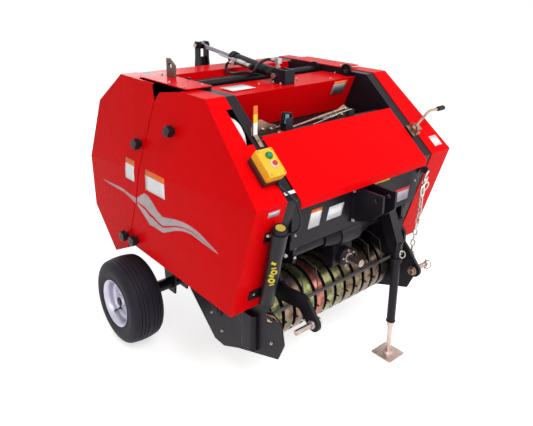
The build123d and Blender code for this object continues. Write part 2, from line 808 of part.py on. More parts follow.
with BuildPart() as gate_post:
    for start in (-post_half, post_half - cheek_t):
        with BuildSketch(side(start)):
            Polygon(
                (post_front_y - 14, on_gate_slope(post_front_y - 14)),
                (post_rear_y + 14, on_gate_slope(post_rear_y + 14)),
                (post_rear_y, window_low), (post_rear_y, eye_z + 20), (post_front_y, eye_z + 20),
                (post_front_y, window_low), align=None,
            )
        extrude(amount=cheek_t)
    with BuildSketch(side(-post_half + 1)):
        Polygon(
            (eye_y - 6, on_gate_slope(eye_y - 6)), (eye_y + 6, on_gate_slope(eye_y + 6)),
            (eye_y + 6, window_low), (eye_y - 6, window_low), align=None,
        )
    extrude(amount=2 * post_half - 2)
    with BuildSketch(side(-60)):
        Polygon(
            (post_front_y - 40, on_gate_slope(post_front_y - 40)),
            (post_rear_y + 30, on_gate_slope(post_rear_y + 30)),
            (post_rear_y + 30, on_gate_slope(post_rear_y + 30) + 8),
            (post_front_y - 40, on_gate_slope(post_front_y - 40) + 8), align=None,
        )
    extrude(amount=120)
    for start, length in (
        (-post_half - 9, post_half + 9 - eye_half - 1.5), (eye_half + 1.5, post_half + 9 - eye_half - 1.5)
    ):
        with BuildSketch(side(start)):
            with Locations((eye_y, eye_z)):
                Circle(post_boss_r)
        extrude(amount=length)
save("gate_post", gate_post.part)

# ------------------------------------------------------------------------------------------ cylinder

base_z = top_z + base_rise
ram_length = hypot(eye_y - base_y, eye_z - base_z)
ram_tilt = atan2(eye_z - base_z, eye_y - base_y)
# Along the cylinder: local x runs from the base pin towards the rod's eye, local y upwards.
ram_side = Plane(
    origin=(0, base_y, base_z), x_dir=(0, cos(ram_tilt), sin(ram_tilt)), z_dir=(1, 0, 0)
)
ram_end = Plane(
    origin=(0, base_y, base_z), x_dir=(1, 0, 0), z_dir=(0, cos(ram_tilt), sin(ram_tilt))
)
lug_half = 18.0
lug_r = 20.0
lug_pad = 24.0  # flat top of the lug, above the pin's axis
lug_length = 30.0
bracket_cheek_t = 11.0
bracket_back_y = base_y - 76
bracket_half = lug_half + 1 + bracket_cheek_t

with BuildPart() as cylinder_bracket:
    for start in (lug_half + 1, -bracket_half):
        with BuildSketch(side(start)):
            Polygon(
                (bracket_back_y, box_z + 0.3), (base_y + 16, box_z + 0.3), (base_y + 16, base_z + 4),
                (base_y - 14, base_z + 34), (bracket_back_y, base_z + 34), align=None,
            )
            with Locations((base_y, base_z)):
                Circle(pin_r + 0.3, mode=Mode.SUBTRACT)
        extrude(amount=bracket_cheek_t)
    with BuildSketch(cross(bracket_back_y + 10)):
        with Locations((0, box_z + 0.3)):
            Rectangle(2 * bracket_half, base_z + 34 - box_z - 0.3, align=(Align.CENTER, Align.MIN))
    extrude(amount=10)
save("cylinder_bracket", cylinder_bracket.part)

with BuildPart() as base_pin:
    with BuildSketch(side(-bracket_half - 0.3)):
        with Locations((base_y, base_z)):
            Circle(pin_r)
    extrude(amount=2 * bracket_half + 0.6)
    for start in (-bracket_half - 9, bracket_half + 0.3):
        with BuildSketch(side(start)):
            with Locations((base_y, base_z)):
                RegularPolygon(radius=15, side_count=6)
        extrude(amount=8.7)
save("base_pin", base_pin.part)

with BuildPart() as barrel:
    with BuildSketch(ram_side.offset(-lug_half)):
        Circle(lug_r)
        with Locations((0, -lug_r)):
            Rectangle(lug_length + 4, 2 * lug_r, align=(Align.MIN, Align.MIN))
    extrude(amount=2 * lug_half)
    with BuildSketch(level(base_z)):
        with Locations((0, base_y + 6)):
            Rectangle(2 * lug_half - 8, 26)
    extrude(amount=lug_pad)
    with BuildSketch(ram_end.offset(lug_length)):
        Circle(barrel_r)
    extrude(amount=barrel_reach - lug_length)
    with BuildSketch(ram_end.offset(barrel_reach - 30)):
        Circle(barrel_r + 4)
    extrude(amount=30)
    with BuildSketch(ram_end.offset(60)):
        Circle(rod_r + rod_fit)
    extrude(amount=barrel_reach, mode=Mode.SUBTRACT)
    with BuildSketch(ram_side.offset(-lug_half - 1)):
        Circle(pin_r + 0.06)
    extrude(amount=2 * lug_half + 2, mode=Mode.SUBTRACT)
save("barrel", barrel.part)

# Port fitting: an elbow on the lug's flat top, with the hose's ferrule behind it.
port_y = base_y + 7
port_z = base_z + 66
ferrule_end_y = base_y + 48
with BuildPart() as port_fitting:
    with BuildSketch(level(base_z + lug_pad + 0.4)):
        with Locations((0, port_y)):
            Circle(9)
    extrude(amount=port_z - base_z - lug_pad - 0.4)
    with BuildSketch(level(base_z + lug_pad + 8)):
        with Locations((0, port_y)):
            RegularPolygon(radius=12, side_count=6)
    extrude(amount=10)
    with BuildSketch(cross(port_y + 12)):
        with Locations((0, port_z)):
            Rectangle(24, 24)
    extrude(amount=24)
    with BuildSketch(cross(ferrule_end_y)):
        with Locations((0, port_z)):
            Circle(9.5)
    extrude(amount=ferrule_end_y - port_y)
save("port_fitting", port_fitting.part)

rod_tail = 200.0
with BuildPart() as rod:
    with BuildSketch(ram_end.offset(rod_tail)):
        Circle(rod_r)
    extrude(amount=ram_length - rod_tail - 12)
    with BuildSketch(ram_side.offset(-eye_half)):
        with Locations((ram_length, 0)):
            Circle(20)
        with Locations((ram_length - 30, 0)):
            Rectangle(30, 24)
        with Locations((ram_length, 0)):
            Circle(10, mode=Mode.SUBTRACT)
    extrude(amount=2 * eye_half)
save("rod", rod.part)

# ------------------------------------------------------------------------------------------ lid

lid_half = chamber_half - run_gap
lid_top = 213.0  # down the slope
lid_low = slope_length + 16
hinge_down = lid_top + 12
hinge_in = 12.0  # hinge axis below the slope's plane
hinge_r = 6.0
with BuildPart() as lid:
    with BuildSketch(slope):
        with Locations((0, -(lid_top + lid_low) / 2)):
            Rectangle(2 * lid_half, lid_low - lid_top)
    extrude(amount=-sheet_t)
    lid_edge = on_slope(lid_low)
    with BuildSketch(side(-lid_half)):
        Polygon(
            lid_edge, (lid_edge[0], lid_edge[1] - 30), (lid_edge[0] + sheet_t, lid_edge[1] - 30),
            (lid_edge[0] + sheet_t, lid_edge[1] - 1), align=None,
        )
    extrude(amount=2 * lid_half)
    for x in (-300, -40, 220):
        with BuildSketch(side(x)):
            with Locations(on_slope(hinge_down, -hinge_in)):
                Circle(hinge_r + 4)
            Polygon(
                on_slope(hinge_down, -1), on_slope(hinge_down + 30, -1), on_slope(hinge_down + 4, -hinge_in - 4),
                on_slope(hinge_down - 4, -hinge_in), align=None,
            )
            with Locations(on_slope(hinge_down, -hinge_in)):
                Circle(hinge_r + 0.06, mode=Mode.SUBTRACT)
        extrude(amount=80)
save("lid", lid.part)

with BuildPart() as hinge_rod:
    with BuildSketch(side(-between_plates)):
        with Locations(on_slope(hinge_down, -hinge_in)):
            Circle(hinge_r)
    extrude(amount=2 * between_plates)
save("hinge_rod", hinge_rod.part)

# ------------------------------------------------------------------------------------------ twine gear, controls

guide_r = 7.0
with BuildPart() as twine_guide:
    with BuildSketch(side(-between_plates)):
        with Locations((-330, 1140)):
            Circle(guide_r)
    extrude(amount=2 * between_plates)
    with BuildSketch(side(-215)):
        with Locations((-330, 1165)):
            Rectangle(34, 70)
    extrude(amount=40)
    with BuildSketch(side(180)):
        with Locations((-330, 1155)):
            Rectangle(40, 46)
    extrude(amount=36)
save("twine_guide", twine_guide.part)

disc_r = 95.0
disc_x = lip_x + 6
disc_t = 5.0
disc_y, disc_z = on_slope((disc_notch_down[0] + disc_notch_down[1]) / 2, -disc_r - 8)
with BuildPart() as twine_disc:
    with BuildSketch(side(-disc_x)):
        with Locations((disc_y, disc_z)):
            Circle(disc_r)
    extrude(amount=disc_t)
    with BuildSketch(side(-disc_x)):
        with Locations((disc_y, disc_z)):
            Circle(16)
    extrude(amount=disc_x - plate_outer - seat_gap)
save("twine_disc", twine_disc.part)

panel_down = (301.0, 421.0)
panel_x = (-(chamber_half + 127), -(chamber_half + 47))
panel_h = 75.0
with BuildPart() as control_box:
    with BuildSketch(slope.offset(0.3)):
        with Locations(((panel_x[0] + panel_x[1]) / 2, -(panel_down[0] + panel_down[1]) / 2)):
            RectangleRounded(panel_x[1] - panel_x[0], panel_down[1] - panel_down[0], 6)
    extrude(amount=panel_h)
save("control_box", control_box.part)

button_x = (panel_x[0] + panel_x[1]) / 2 + 3
with BuildPart() as control_buttons:
    for down, radius in ((336, 15), (374, 15)):
        with BuildSketch(slope.offset(panel_h + 0.6)):
            with Locations((button_x, -down)):
                Circle(radius)
        extrude(amount=14)
save("control_buttons", control_buttons.part)

strip_x = -(chamber_half + 32)
strip_top = 205.0
strip_foot = 262.0
foot_out = -sheet_t - seat_gap + 0.3
with BuildPart() as indicator_arm:
    with BuildSketch(side(strip_x)):
        with BuildLine():
            Polyline(
                (on_slope(strip_top, foot_out)[0], top_z - 16), on_slope(strip_top, foot_out),
                on_slope(strip_foot, foot_out),
            )
            offset(amount=4, side=Side.RIGHT, kind=Kind.INTERSECTION)
        make_face()
    extrude(amount=20)
save("indicator_arm", indicator_arm.part)

lever_base = (chamber_half + 26, *on_slope(352, 29))
with BuildPart() as hand_lever:
    with BuildSketch(side(chamber_half + 22)):
        Polygon(
            on_slope(332, foot_out), on_slope(388, foot_out), on_slope(366, 42), on_slope(338, 42), align=None
        )
    extrude(amount=8)
    with BuildLine() as lever_line:
        FilletPolyline(lever_base, (chamber_half + 121, -535, 1148), (chamber_half + 264, -535, 1160), radius=30)
    with BuildSketch(Plane(origin=lever_base, z_dir=lever_line.line % 0)):
        Circle(7)
    sweep(path=lever_line.line)
    grip_plane = Plane(origin=lever_line.line @ 1, z_dir=lever_line.line % 1)
    with BuildSketch(grip_plane.offset(-60)):
        Circle(11)
    extrude(amount=66)
save("hand_lever", hand_lever.part)

manual_top = Vector(-(chamber_half + 99), -640, 895)
manual_foot = Vector(-(chamber_half + 60), -524, 512)
manual_axis = Plane(origin=tuple(manual_foot), z_dir=tuple((manual_top - manual_foot).normalized()))
manual_length = (manual_top - manual_foot).length
clip_y = -594.0
clip_z = 828.0
clip_reach = 50.0  # from chamber_half out to the clip's end, where the cable enters
with BuildPart() as manual_tube:
    with BuildSketch(manual_axis):
        Circle(30)
    extrude(amount=manual_length - 110)
    with BuildSketch(manual_axis.offset(manual_length - 110)):
        Circle(33)
    extrude(amount=90)
    with BuildSketch(manual_axis.offset(manual_length - 20)):
        Circle(27)
    extrude(amount=20)
    for up, back in ((edge_length * 0.16, 0), (edge_length * 0.73, 0)):
        with BuildSketch(front_edge.offset(0.3)):
            with Locations((-(chamber_half + 96), up)):
                Rectangle(72, 44)
        extrude(amount=8)
    with BuildSketch(side(-(chamber_half + 80))):  # clip that holds the control cable's end
        with Locations((clip_y, clip_z)):
            Circle(8)
    extrude(amount=80 - clip_reach - 0.3)
save("manual_tube", manual_tube.part)

# ------------------------------------------------------------------------------------------ pick-up


def cover_bottom(y):
    """Height of the black flange's underside above the pick-up's side plates."""
    share = (y - flange_foot[0]) / (cover_outline[5][0] - flange_foot[0])
    return flange_foot[1] + share * (cover_outline[5][1] - flange_foot[1]) + sheet_t + seat_gap


pickup_t = 6.0
with BuildPart() as pickup_side:
    with BuildSketch(side(pickup_x)):
        Polygon(
            (60, cover_bottom(60) - 0.3), (60, 305), (-141, 130), (-211, 125), (-318, 172), (-577, 262), (-612, 345),
            (-592, 437), (-500, cover_bottom(-500) - 5), (flange_foot[0] + 5, cover_bottom(flange_foot[0]) - 0.3),
            align=None,
        )
        fillet(vertices().group_by(Axis.X)[0:1], radius=20)
    extrude(amount=pickup_t)
save("pickup_side_left", pickup_side.part)

with BuildPart() as pickup_side_right:
    add(mirror(pickup_side.part, about=Plane.YZ))
    with BuildSketch(level(235)):
        with Locations((-(pickup_x + pickup_t - 1), -405)):
            RectangleRounded(56, 90, 20)
    extrude(amount=170)
    with BuildSketch(side(-(pickup_x + pickup_t - 1))):
        with Locations((-165, 300)):
            Circle(34)
    extrude(amount=-12)
    with BuildSketch(side(-pickup_x)):
        with Locations((-405, 320)):
            Rectangle(120, 260)
    extrude(amount=60, mode=Mode.SUBTRACT)
save("pickup_side_right", pickup_side_right.part)

band_t = 3.0
band_pitch = 66.0
band_end = 75.0  # the round part of a band stops this far from +Y, then runs on straight
rail_y = reel_y + 170
rail_rise = band_r * sin(radians(band_end)) - (170 - band_r * cos(radians(band_end))) / tan(radians(band_end))
with BuildPart() as pickup_bands:
    for i in range(band_count):
        x = (i - (band_count - 1) / 2) * band_pitch - band_w / 2
        with BuildSketch(side(x)):
            with BuildLine():
                arc = CenterArc((reel_y, reel_z), band_r, band_end, 360 - 2 * band_end)
                Line((rail_y, reel_z + rail_rise), arc @ 0)
                Line(arc @ 1, (rail_y, reel_z - rail_rise))
                offset(amount=band_t, side=Side.LEFT)
            make_face()
        extrude(amount=band_w)
    for z in (reel_z + rail_rise - 14, reel_z - rail_rise + 14):
        with BuildSketch(side(-pickup_x + seat_gap)):
            with Locations((rail_y, z)):
                Rectangle(30, 24)
        extrude(amount=2 * pickup_x - 2 * seat_gap)
save("pickup_bands", pickup_bands.part)

bar_r = 96.0
with BuildPart() as pickup_reel:
    with BuildSketch(side(-pickup_x + seat_gap)):
        with Locations((reel_y, reel_z)):
            Circle(15)
    extrude(amount=2 * pickup_x - 2 * seat_gap)
    with BuildSketch(side(-chamber_half + 20)):
        with Locations((reel_y, reel_z)):
            with PolarLocations(bar_r, 4):
                Circle(10)
    extrude(amount=2 * chamber_half - 40)
    for start in (-chamber_half + 14, chamber_half - 20):
        with BuildSketch(side(start)):
            with Locations((reel_y, reel_z)):
                Circle(bar_r + 14)
        extrude(amount=6)
    for i in range(band_count - 1):
        x = (i - (band_count - 2) / 2) * band_pitch
        with BuildSketch(side(x - 3)):
            with Locations((reel_y, reel_z)):
                with PolarLocations((bar_r + tine_tip_r) / 2, 4):
                    Rectangle(tine_tip_r - bar_r, 6)
        extrude(amount=6)
save("pickup_reel", pickup_reel.part)

guard_y = -500.0
guard_z = 425.0
with BuildPart() as wind_guard:
    with BuildSketch(side(-pickup_x + seat_gap)):
        with Locations((guard_y, guard_z)):
            Circle(8)
    extrude(amount=2 * pickup_x - 2 * seat_gap)
    for x in (-315, -225, -135, 135, 225, 315):
        with BuildLine() as tine_line:
            Polyline((x, guard_y, guard_z + 4), (x, -478, 530), (x, -300, 578))
        with BuildSketch(Plane(origin=(x, guard_y, guard_z + 4), z_dir=(0, 22, 101))):
            Circle(3)
        sweep(path=tine_line.line, transition=Transition.RIGHT)
save("wind_guard", wind_guard.part)

# ------------------------------------------------------------------------------------------ hose, cable, chain


def cord(name, points, radius):
    """A round cord along the points, each bend as large as its two runs allow."""
    places = [Vector(*point) for point in points]
    runs = [after - before for before, after in zip(places, places[1:])]
    bends = [
        0.45 * min(run.length, following.length) / tan(radians(run.get_angle(following) / 2))
        for run, following in zip(runs, runs[1:])
    ]
    with BuildPart() as tube:
        with BuildLine() as path:
            FilletPolyline(*points, radius=bends)
        with BuildSketch(Plane(origin=path.line @ 0, z_dir=path.line % 0)):
            Circle(radius)
        sweep(path=path.line)
    length = path.wires()[0].length
    share = tube.part.volume / (pi * radius**2 * length)
    print(f"{name}: {length:.0f} mm long, volume share {share:.4f}, radii", [round(bend) for bend in bends])
    save(name, tube.part)


hose_r = 7.0
coupler_x = -(barrel_r + 14.0)
cord(
    "hose",
    (
        (0, ferrule_end_y + 0.3, port_z), (0, 4, 1385.5), (-12, 20, 1382), (-30, 33, 1370), (-45, 40, 1355),
        (-54, 44, 1338), (-57, 52, 1324), (-58, 66, 1317), (-57, 94, 1319), (-55, 138, 1311), (-55, 190, 1298),
        (-57, 228, 1291), (-58, 251, 1293), (-58, 267, 1308), (-58, 266, 1330), (-56, 251, 1346),
        (-56, 231.5, 1346),
    ),
    hose_r,
)

# Quick coupler parked beside the barrel: body, the block where the hose enters, and its long male tip.
coupler_front = (coupler_x, 98, 1343)
coupler_rear = (coupler_x, 236, 1343 + 138 * tan(ram_tilt))
coupler_axis = Plane(
    origin=coupler_front, z_dir=tuple(b - a for a, b in zip(coupler_front, coupler_rear))
)
with BuildPart() as hose_coupler:
    for start, length, radius in ((0, 40, 11), (40, 58, 13), (98, 40, 10), (138, 112, 5)):
        with BuildSketch(coupler_axis.offset(start - 0.5)):
            Circle(radius)
        extrude(amount=length + 0.5)
    with BuildSketch(cross(216)):
        with Locations((coupler_x - 9, 1352)):
            Rectangle(32, 30)
    extrude(amount=20)
    with BuildSketch(cross(231.2)):
        with Locations((-56, 1346)):
            Circle(10)
    extrude(amount=16)
save("hose_coupler", hose_coupler.part)

cable_r = 4.0
cable_end = (-(chamber_half + clip_reach), clip_y, clip_z)
cord(
    "control_cable",
    (
        (panel_x[1] - 8, *on_slope(panel_down[1] + 0.3, 9)), (panel_x[1] - 8, *on_slope(437, 9)),
        (-453, *on_slope(457, 7)), (-436, *on_slope(488, 6)), (-427, -640, 972), (-416, -643, 938),
        (-404, -641, 903), (-400, -637, 870), (-403, -626, 847), (-414, -608, 833), (-432, clip_y, clip_z), cable_end,
    ),
    cable_r,
)

with BuildPart() as safety_chain:
    with BuildLine() as chain_line:
        FilletPolyline(
            (chamber_half + 22, -632, 900), (chamber_half - 2, -640, 810),
            (hitch_half + hitch_t / 2 + 39.5, -640, 660), (hitch_half + hitch_t / 2 + 8.3, -640, 480), radius=60,
        )
    with BuildSketch(Plane(origin=chain_line.line @ 0, z_dir=chain_line.line % 0)):
        Circle(8)
    sweep(path=chain_line.line)
    with BuildSketch(front_edge.offset(-sheet_t - seat_gap + 0.3)):
        with Locations((chamber_half + 22, edge_length - 80)):
            Rectangle(30, 48)
    extrude(amount=44)
save("safety_chain", safety_chain.part)
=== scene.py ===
"""Looks of the round baler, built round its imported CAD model.

Metres, in the model's frame: +Z up, the hitch points to -Y, +X is the machine's left side.
"""

import json
import math
import random

import bmesh
import bpy
from mathutils import Matrix, Vector


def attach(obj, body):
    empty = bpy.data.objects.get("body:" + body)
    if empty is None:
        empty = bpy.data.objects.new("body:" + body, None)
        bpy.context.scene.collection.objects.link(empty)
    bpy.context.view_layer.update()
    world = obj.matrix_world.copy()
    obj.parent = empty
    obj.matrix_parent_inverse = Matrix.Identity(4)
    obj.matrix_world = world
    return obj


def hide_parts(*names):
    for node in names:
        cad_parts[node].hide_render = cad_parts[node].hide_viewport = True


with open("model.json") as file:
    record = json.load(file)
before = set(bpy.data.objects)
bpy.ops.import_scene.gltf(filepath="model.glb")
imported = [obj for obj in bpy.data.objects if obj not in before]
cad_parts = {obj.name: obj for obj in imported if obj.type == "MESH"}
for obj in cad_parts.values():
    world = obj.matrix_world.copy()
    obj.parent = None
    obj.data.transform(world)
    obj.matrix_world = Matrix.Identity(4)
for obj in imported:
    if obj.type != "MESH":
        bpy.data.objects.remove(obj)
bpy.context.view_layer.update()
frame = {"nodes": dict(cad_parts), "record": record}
nodes = frame["nodes"]
scene = bpy.context.scene
random.seed(7)

# Directions and sizes of the part that the pieces below keep to, in millimetres on its drawing.
ahead, above = (0, -1, 0), (0, 0, 1)  # to the hitch, and up
drawing_shift = 22  # the part's drawing has its zero this far behind the frame's
top_edge = (-250, 1310)  # y and z of the covers' upper front edge
fall, run = 0.65751, 0.75344  # of a millimetre down the front slope: to the ground, and to the hitch
cover_half = 611  # half the width over the side covers, below their crease
cover_lean = 0.15  # how far they lean in for each millimetre above the crease
front_edge = (-627, 981)  # y and z of the covers' edge below the slope, where the crease starts
crease_fall = 0.09495  # of the crease, for each millimetre to the rear
edge_lean = 0.30339  # of that front edge, to the rear for each millimetre down
hub_x, axle_y, axle_z = 646, 300, 215
reel_y, reel_z = -345, 350
jack_x, jack_y = 237, -638
hitch_pin_y, hitch_pin_z = -672, 438
gearbox_y, gearbox_z, stub_z = -505, 685, 567

# -------------------- camera and lamps


def add_camera():
    """A camera at the photograph's viewing angle."""
    azimuth, elevation, roll = math.radians(-41.472), math.radians(17.816), math.radians(0.872)
    back = Vector((
        math.sin(azimuth) * math.cos(elevation), -math.cos(azimuth) * math.cos(elevation), math.sin(elevation)
    ))
    right = Vector((math.cos(azimuth), math.sin(azimuth), 0))
    up = back.cross(right)
    turned_right = math.cos(roll) * right + math.sin(roll) * up
    turned_up = math.cos(roll) * up - math.sin(roll) * right
    data = bpy.data.cameras.new("camera")
    data.sensor_width = 36
    data.lens = 38.81
    data.shift_y = -0.109
    camera = bpy.data.objects.new("camera", data)
    scene.collection.objects.link(camera)
    pose = Matrix((turned_right, turned_up, back)).transposed().to_4x4()
    pose.translation = Vector((-1.8092, -2.0086, 1.785))
    camera.matrix_world = pose
    scene.camera = camera


def add_lamp(name, location, target, size, energy):
    """A square lamp that shines at target."""
    data = bpy.data.lights.new(name, "AREA")
    data.shape = "SQUARE"
    data.size = size
    data.energy = energy
    lamp = bpy.data.objects.new(name, data)
    scene.collection.objects.link(lamp)
    lamp.location = location
    lamp.rotation_euler = (Vector(target) - Vector(location)).to_track_quat("-Z", "Y").to_euler()


add_camera()
add_lamp("key", (-0.8, -3.3, 4.7), (0, -0.3, 0.9), 2.4, 142)
add_lamp("side", (-3.2, -2.9, 2.1), (-0.3, -0.4, 0.7), 2.0, 24)
add_lamp("fill", (3.6, -3.4, 2.2), (0, 0, 0.7), 2.6, 40)
add_lamp("rear", (1.0, 4.6, 2.6), (0, 0, 0.7), 2.6, 60)

# -------------------- materials


def new_material(name, color, roughness, metallic=0.0, specular=0.5):
    """A plain material, and the nodes that the finishes below build on."""
    mat = bpy.data.materials.new(name)
    mat.use_nodes = True
    tree = mat.node_tree
    shader = tree.nodes["Principled BSDF"]
    shader.inputs["Base Color"].default_value = (*color, 1)
    shader.inputs["Roughness"].default_value = roughness
    shader.inputs["Metallic"].default_value = metallic
    shader.inputs["Specular IOR Level"].default_value = specular
    return mat, tree, shader


def noise(tree, scale, detail=4.0):
    """Noise in the object's own coordinates. scale is in features for each metre."""
    place = tree.nodes.new("ShaderNodeTexCoord")
    texture = tree.nodes.new("ShaderNodeTexNoise")
    texture.inputs["Scale"].default_value = scale
    texture.inputs["Detail"].default_value = detail
    tree.links.new(place.outputs["Object"], texture.inputs["Vector"])
    return texture.outputs["Fac"]


def ramp(tree, source, stops):
    """A colour ramp over source. stops are (position, colour)."""
    node = tree.nodes.new("ShaderNodeValToRGB")
    while len(node.color_ramp.elements) < len(stops):
        node.color_ramp.elements.new(0.5)
    for element, (position, color) in zip(node.color_ramp.elements, stops):
        element.position = position
        element.color = (*color, 1)
    tree.links.new(source, node.inputs["Fac"])
    return node.outputs["Color"]


def bump(tree, shader, scale, strength):
    """Fine bump, scale features for each metre, over edges that look a little rounded."""
    height, edge = 0.0001, 0.0012  # metres
    node = tree.nodes.new("ShaderNodeBump")
    rounded = tree.nodes.new("ShaderNodeBevel")
    rounded.samples = 4
    rounded.inputs["Radius"].default_value = edge
    tree.links.new(rounded.outputs["Normal"], node.inputs["Normal"])
    node.inputs["Strength"].default_value = strength
    node.inputs["Distance"].default_value = height
    tree.links.new(noise(tree, scale, 2.0), node.inputs["Height"])
    tree.links.new(node.outputs["Normal"], shader.inputs["Normal"])


def surface(name, color, roughness, tone, gloss, grain, metallic=0.0, specular=0.5):
    """A material with uneven tone and gloss, each (features for each metre, least factor, greatest
    factor), and a bump, which is (features for each metre, strength)."""
    mat, tree, shader = new_material(name, color, roughness, metallic, specular)
    scale, low, high = tone
    tones = [(place, tuple(min(1, c * factor) for c in color)) for place, factor in ((0.3, low), (0.7, high))]
    tree.links.new(ramp(tree, noise(tree, scale), tones), shader.inputs["Base Color"])
    if gloss:
        scale, low, high = gloss
        tones = [(0.3, (roughness * low,) * 3), (0.8, (roughness * high,) * 3)]
        tree.links.new(ramp(tree, noise(tree, scale), tones), shader.inputs["Roughness"])
    bump(tree, shader, *grain)
    return mat


def paint(name, color, roughness, dirt, specular):
    """Sprayed enamel: slight orange peel, slow changes of tone, a little dust."""
    tone = (3.0, 1 - dirt, 1 + dirt)
    return surface(name, color, roughness, tone, (9.0, 0.9, 1.3), (260.0, 0.1), specular=specular)


def metal(name, color, roughness, stain=0.2):
    """Plated or bare metal with uneven tone and fine scratches."""
    tone = (24.0, 1 - stain, 1 + stain / 2)
    return surface(name, color, roughness, tone, (60.0, 0.8, 1.3), (400.0, 0.3), metallic=1.0)


def plastic(name, color, roughness, specular=0.5):
    """Plastic, rubber or a printed label."""
    return surface(name, color, roughness, (12.0, 0.95, 1.04), None, (700.0, 0.3), specular=specular)


red = paint("red_enamel", (0.82, 0.002, 0.004), 0.26, 0.03, 0.02)
black = paint("black_enamel", (0.0105, 0.0080, 0.0125), 0.36, 0.12, 0.2)
dark = paint("dark_steel", (0.030, 0.026, 0.032), 0.42, 0.15, 0.25)
roller_steel = metal("roller_steel", (0.16, 0.16, 0.17), 0.42, 0.3)
plated = metal("zinc_plate", (0.50, 0.47, 0.45), 0.32)
chain_steel = metal("chain_steel", (0.68, 0.63, 0.58), 0.3, 0.3)
bronze = metal("bronze", (0.42, 0.29, 0.21), 0.4, 0.35)
jack_steel = metal("jack_steel", (0.72, 0.56, 0.50), 0.4, 0.2)
chrome = metal("chrome", (0.26, 0.24, 0.29), 0.22, 0.06)
rim_paint = metal("rim_silver", (0.60, 0.58, 0.68), 0.42, 0.08)
rubber = plastic("tyre_rubber", (0.020, 0.017, 0.026), 0.55, 0.15)
hose_rubber = plastic("hose_rubber", (0.014, 0.012, 0.017), 0.38, 0.3)
yellow = plastic("yellow_plastic", (0.98, 0.50, 0.016), 0.35)
cap_yellow = plastic("cap_yellow", (0.50, 0.40, 0.07), 0.4)
# The control box's base: a dark tone that is partly its own colour and partly painted shade below the yellow
# cover.
box_base_and_shade = plastic("box_base_and_shade", (0.05, 0.012, 0.012), 0.4)
black_plastic = plastic("black_plastic", (0.011, 0.009, 0.013), 0.34, 0.25)
white_plastic = plastic("white_plastic", (0.82, 0.82, 0.84), 0.4)
green_plastic = plastic("green_plastic", (0.0, 0.26, 0.09), 0.25)
red_plastic = plastic("red_plastic", (0.62, 0.01, 0.015), 0.25)
label_white = plastic("label_white", (0.96, 0.95, 0.98), 0.45)
label_grey = plastic("label_grey", (0.52, 0.48, 0.55), 0.45)
label_orange = plastic("label_orange", (0.92, 0.17, 0.02), 0.45)
label_yellow = plastic("label_yellow", (0.80, 0.62, 0.02), 0.45)
label_red = plastic("label_red", (0.55, 0.02, 0.03), 0.45)
stripe_silver = metal("stripe_silver", (0.36, 0.30, 0.31), 0.45, 0.12)
raw_steel = metal("raw_steel", (0.46, 0.37, 0.33), 0.38, 0.3)
guard_grey = paint("guard_grey", (0.070, 0.060, 0.066), 0.4, 0.3, 0.3)
counter_blue = plastic("counter_blue", (0.10, 0.26, 0.32), 0.15)


def across_machine(tree):
    """The place across the machine, from the object's own coordinates."""
    place = tree.nodes.new("ShaderNodeTexCoord")
    split = tree.nodes.new("ShaderNodeSeparateXYZ")
    tree.links.new(place.outputs["Object"], split.inputs["Vector"])
    return split.outputs["X"]


def banded():
    """Zinc bands of the pick-up. Each has its own passivation tint, from yellow-green to brown and pink."""
    mat, tree, shader = new_material("zinc_bands", (0.4, 0.42, 0.16), 0.33, metallic=0.85)
    half_width = 0.396
    share = tree.nodes.new("ShaderNodeMapRange")
    share.inputs["From Min"].default_value = -half_width
    share.inputs["From Max"].default_value = half_width
    tree.links.new(across_machine(tree), share.inputs["Value"])
    tints = [
        (0.36, 0.38, 0.16), (0.32, 0.24, 0.16), (0.32, 0.22, 0.16), (0.42, 0.46, 0.18), (0.56, 0.21, 0.16),
        (0.40, 0.40, 0.20), (0.36, 0.33, 0.17), (0.32, 0.26, 0.15), (0.29, 0.21, 0.14), (0.26, 0.18, 0.12),
        (0.20, 0.15, 0.10), (0.10, 0.08, 0.06),
    ]
    tint = ramp(tree, share.outputs["Result"], [(i / len(tints), color) for i, color in enumerate(tints)])
    tree.nodes[-1].color_ramp.interpolation = "CONSTANT"
    stain = ramp(tree, noise(tree, 30.0, 6.0), [(0.35, (0.36, 0.30, 0.28)), (0.62, (1, 1, 1))])
    mix = tree.nodes.new("ShaderNodeMix")
    mix.data_type = "RGBA"
    mix.blend_type = "MULTIPLY"
    mix.inputs["Factor"].default_value = 1
    tree.links.new(tint, mix.inputs["A"])
    tree.links.new(stain, mix.inputs["B"])
    tree.links.new(mix.outputs["Result"], shader.inputs["Base Color"])
    bump(tree, shader, 300.0, 0.3)
    return mat


bands = banded()

slot_materials = {
    "red_paint": red,
    "black_paint": black,
    "plated_steel": plated,
    "bronze": bronze,
    "zinc_bands": bands,
    "chrome_rod": chrome,
    "tyre": rubber,
    "rim_silver": rim_paint,
    "yellow_plastic": yellow,
    "black_plastic": black_plastic,
    "white_plastic": white_plastic,
    "grey_steel": dark,
    "hose_rubber": hose_rubber,
}


def split_by_side(name, right, left):
    """Two tones of steel: one on the machine's right half, one on its left."""
    mat, tree, shader = new_material(name, right, 0.42, metallic=0.6, specular=0.2)
    tone = ramp(tree, across_machine(tree), [(0, right), (0.01, left)])
    tree.links.new(tone, shader.inputs["Base Color"])
    bump(tree, shader, 300.0, 0.3)
    return mat


own_materials = {
    "lifting_eyes": split_by_side("eye_steel", (0.16, 0.11, 0.10), (0.012, 0.010, 0.014)),
    "pto_stub": raw_steel,
    "hitch_pins": raw_steel,
    "wind_guard": guard_grey,
    "front_rollers": roller_steel,
    "gate_rollers": roller_steel,
    "jack_leg": jack_steel,
    "jack_collar": jack_steel,
    "twine_guide": dark,
}
for entry in frame["record"]["subparts"]:
    mesh = nodes[entry["node"]].data
    mesh.materials.clear()
    mesh.materials.append(own_materials.get(entry["node"], slot_materials[entry["material_slot"]]))

# -------------------- floor and world


